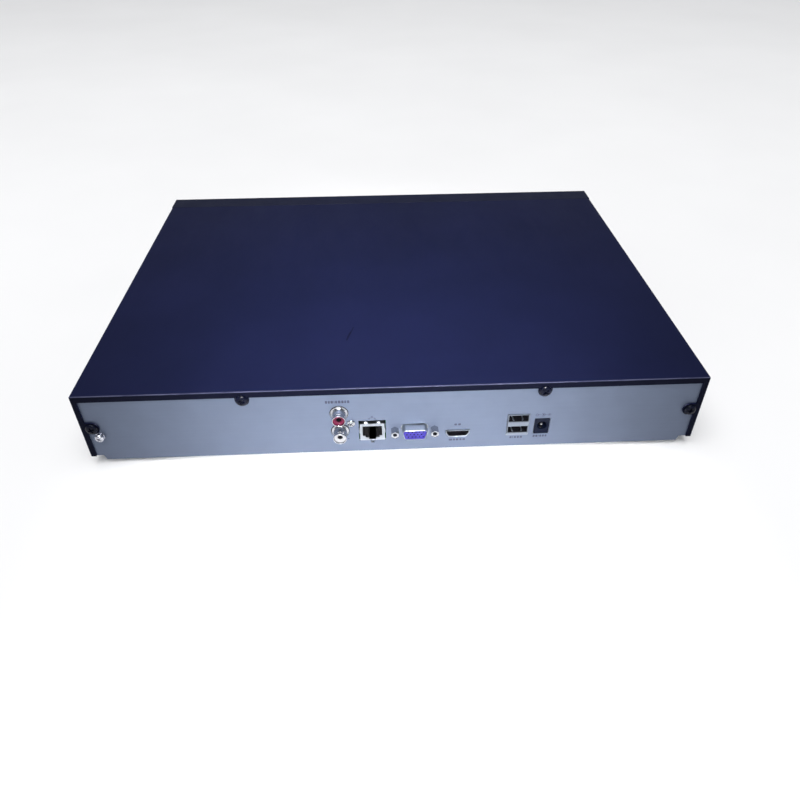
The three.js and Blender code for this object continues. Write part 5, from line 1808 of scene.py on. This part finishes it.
def leads():
    tray = PANEL_BOTTOM + 1
    plugs = bmesh.new()
    low, high = span("fan_frame")
    cy = (low.y + high.y) / 2
    plug_y = BOARD_HIGH.y - 46
    x = side_plug(plugs, plug_y, 7.5)
    start = low.x + 0.5
    edge = BOARD_HIGH.x
    fan_path = smooth_path(
        [
            (start - 1, cy - 12, low.z + 3),
            (start - 5, cy - 12, low.z + 1),
            (start - 16, cy - 10, tray + 2.8),
            (start - 55, cy - 2, tray + 2.4),
            (edge + 26, plug_y - 6, tray + 2.8),
            (edge + 9, plug_y, BOARD_TOP - 1),
            (edge - 2, plug_y, BOARD_TOP + 10.5),
            (x, plug_y, BOARD_TOP + 10),
            (x, plug_y, BOARD_TOP + 6),
        ],
        8,
    )
    bundle("fan_wire", [fan_path], (CABLE_RED, CABLE_BLACK, CABLE_YELLOW), 0.55, 1.05)
    plug_y = BOARD_HIGH.y - 70
    side_plug(plugs, plug_y, 12)
    lead_x = 95.0
    board_back = span("front_board")[1].y + 0.05
    opening_z = PANEL_BOTTOM + 12
    low, high = (lead_x - 6, board_back, opening_z - 0.5), (lead_x + 6, board_back + 2.4, opening_z + 4.5)
    block(plugs, low, high, 0.3)
    front_path = smooth_path(
        [
            (lead_x, board_back + 2, opening_z + 2),
            (lead_x, board_back + 7, opening_z),
            (lead_x, board_back + 16, opening_z - 5),
            (lead_x + 1, board_back + 34, tray + 2.8),
            (lead_x - 1, board_back + 110, tray + 2.8),
            (lead_x, plug_y - 40, tray + 2.8),
            (lead_x - 8, plug_y - 14, tray + 2.8),
            (edge + 14, plug_y - 2, BOARD_TOP - 3),
            (edge + 4, plug_y, BOARD_TOP + 8),
            (x + 1, plug_y, BOARD_TOP + 12),
            (x, plug_y, BOARD_TOP + 6),
        ],
        10,
    )
    colours = (CABLE_BLACK, WHITE, CABLE_RED, CABLE_YELLOW)
    bundle("front_wire", [front_path], colours, 0.72, 1.45)
    piece("lead_plugs", plugs, WHITE, ROOT, ("fan_lead", "front_lead"))


for number in (1, 2):
    data_cable(number)
power_harness()
leads()

# ---------------------------------------------------------------- fan


def fan_details():
    """The hub's label turns with the rotor; screws hold the frame."""
    frame_low, frame_high = span("fan_frame")
    hub = seen_along("X", frame_low, frame_high)
    face = span("fan_rotor")[1].x
    bm = bmesh.new()
    slab(bm, "X", circle(*hub, 8.2, 48), face - 0.1, face + 0.06)
    piece("fan_hub_label", bm, LABEL, "fan_wheel")
    inset = 4.0
    index = 0
    for y in (frame_low.y + inset, frame_high.y - inset):
        for z in (frame_low.z + inset, frame_high.z - inset):
            index += 1
            bm = bmesh.new()
            head = [(0, 1.3), (1.6, 1.2), (2.4, 0.5), (2.5, 0.05), (1.5, 0.05)]
            profile = [(radius, frame_low.x - out) for radius, out in head]
            profile += [(1.5, frame_high.x), (0, frame_high.x)]
            turned(bm, "X", (y, z), profile, 32)
            piece(f"fan_screw_{index}", bm, BLACK_SCREW, ROOT)


fan_details()
dress("fan_frame", BLACK, 0.3)
dress("fan_rotor", BLACK, 0.2)

# ---------------------------------------------------------------- underside


def rating_label():
    """A plain label under the tray."""
    cx, cy = 0.0, 60.0
    bm = bmesh.new()
    slab(bm, "Z", rectangle(cx, cy, 70, 42, 2, 5), PANEL_BOTTOM - 0.1, PANEL_BOTTOM + 0.02)
    piece("underside_label", bm, LABEL, ROOT)
    bm = bmesh.new()
    spots = random.Random(9)
    for row in range(7):
        x = cx - 31
        while x < cx + (6 if row < 4 else 26):
            width = spots.uniform(2, 7)
            bar = rectangle(x + width / 2, cy + 15 - row * 4.6, width, 1.5)
            slab(bm, "Z", bar, PANEL_BOTTOM - 0.13, PANEL_BOTTOM - 0.09)
            x += width + 1.2
    piece("underside_print", bm, INK, ROOT)


rating_label()

# ---------------------------------------------------------------- stage, lights and camera

CAMERA_PLACE = (0.01014, 0.46567, 0.29868)
CAMERA_TURN = (51.491, 0.266, 177.402)
LENS_MM = 30.287
SENSOR_MM = 36.0
FLOOR_SIZE = 16.0


def make_floor():
    n = Nodes("pale_floor")
    n.base(0.0, specular=0.2)
    tone = n.between(n.noise(300.0), 0.0, 1.0)
    color = n.mix(tone, (0.87, 0.87, 0.875), (0.9, 0.9, 0.905))
    material = n.finish(color, n.between(n.noise(80.0), 0.75, 0.85))
    bm = bmesh.new()
    half = FLOOR_SIZE / 2 / MM
    corners = [(-half, -half), (half, -half), (half, half), (-half, half)]
    bm.faces.new([bm.verts.new((x, y, 0.0)) for x, y in corners])
    floor = to_object("floor", bm)
    floor.data.materials.append(material)


def make_light(name, place, aim, size, power, spread=180):
    data = bpy.data.lights.new(name, "AREA")
    data.shape = "RECTANGLE"
    data.size, data.size_y = size
    data.energy = power
    data.spread = math.radians(spread)
    light = bpy.data.objects.new(name, data)
    light.location = place
    light.rotation_euler = (Vector(aim) - Vector(place)).to_track_quat("-Z", "Y").to_euler()
    bpy.context.collection.objects.link(light)


def make_sky_light(side, width, strength):
    """Wide soft light from above, as strong far off as it is on the recorder."""
    data = bpy.data.lights.new("ceiling", "SUN")
    data.angle = math.radians(width)
    data.energy = strength
    light = bpy.data.objects.new("ceiling", data)
    light.rotation_euler = Vector(side).to_track_quat("Z", "Y").to_euler()
    bpy.context.collection.objects.link(light)


def make_world():
    """A studio that is pale near the floor and dim above."""
    world = bpy.data.worlds.new("studio")
    world.use_nodes = True
    tree = world.node_tree
    way = tree.nodes.new("ShaderNodeTexCoord")
    parts = tree.nodes.new("ShaderNodeSeparateXYZ")
    tree.links.new(way.outputs["Generated"], parts.inputs["Vector"])
    ramp_up = tree.nodes.new("ShaderNodeMapRange")
    ramp_up.interpolation_type = "SMOOTHSTEP"
    ramp_up.inputs["From Min"].default_value = 0.0
    ramp_up.inputs["From Max"].default_value = 0.65
    ramp_up.inputs["To Min"].default_value = 0.52
    ramp_up.inputs["To Max"].default_value = 0.07
    tree.links.new(parts.outputs["Z"], ramp_up.inputs["Value"])
    back = tree.nodes["Background"]
    back.inputs["Color"].default_value = (0.9, 0.93, 1.0, 1.0)
    tree.links.new(ramp_up.outputs["Result"], back.inputs["Strength"])
    bpy.context.scene.world = world


def make_camera():
    data = bpy.data.cameras.new("camera")
    data.lens = LENS_MM
    data.sensor_width = SENSOR_MM
    data.clip_start = 0.01
    camera = bpy.data.objects.new("camera", data)
    camera.location = CAMERA_PLACE
    camera.rotation_euler = [math.radians(a) for a in CAMERA_TURN]
    bpy.context.collection.objects.link(camera)
    bpy.context.scene.camera = camera


make_floor()
make_world()
make_light("overhead", (0.1, 0.25, 2.1), (0, 0, 0), (2.2, 1.9), 25)
make_light("panel_sweep", (-0.01, 1.3, 0.75), (0.0, 0.15, 0.03), (0.25, 0.25), 0.51, spread=9)
make_sky_light((0.1, 0.3, 1.0), 60, 1.9)
make_camera()
bpy.context.scene.view_settings.view_transform = "Standard"
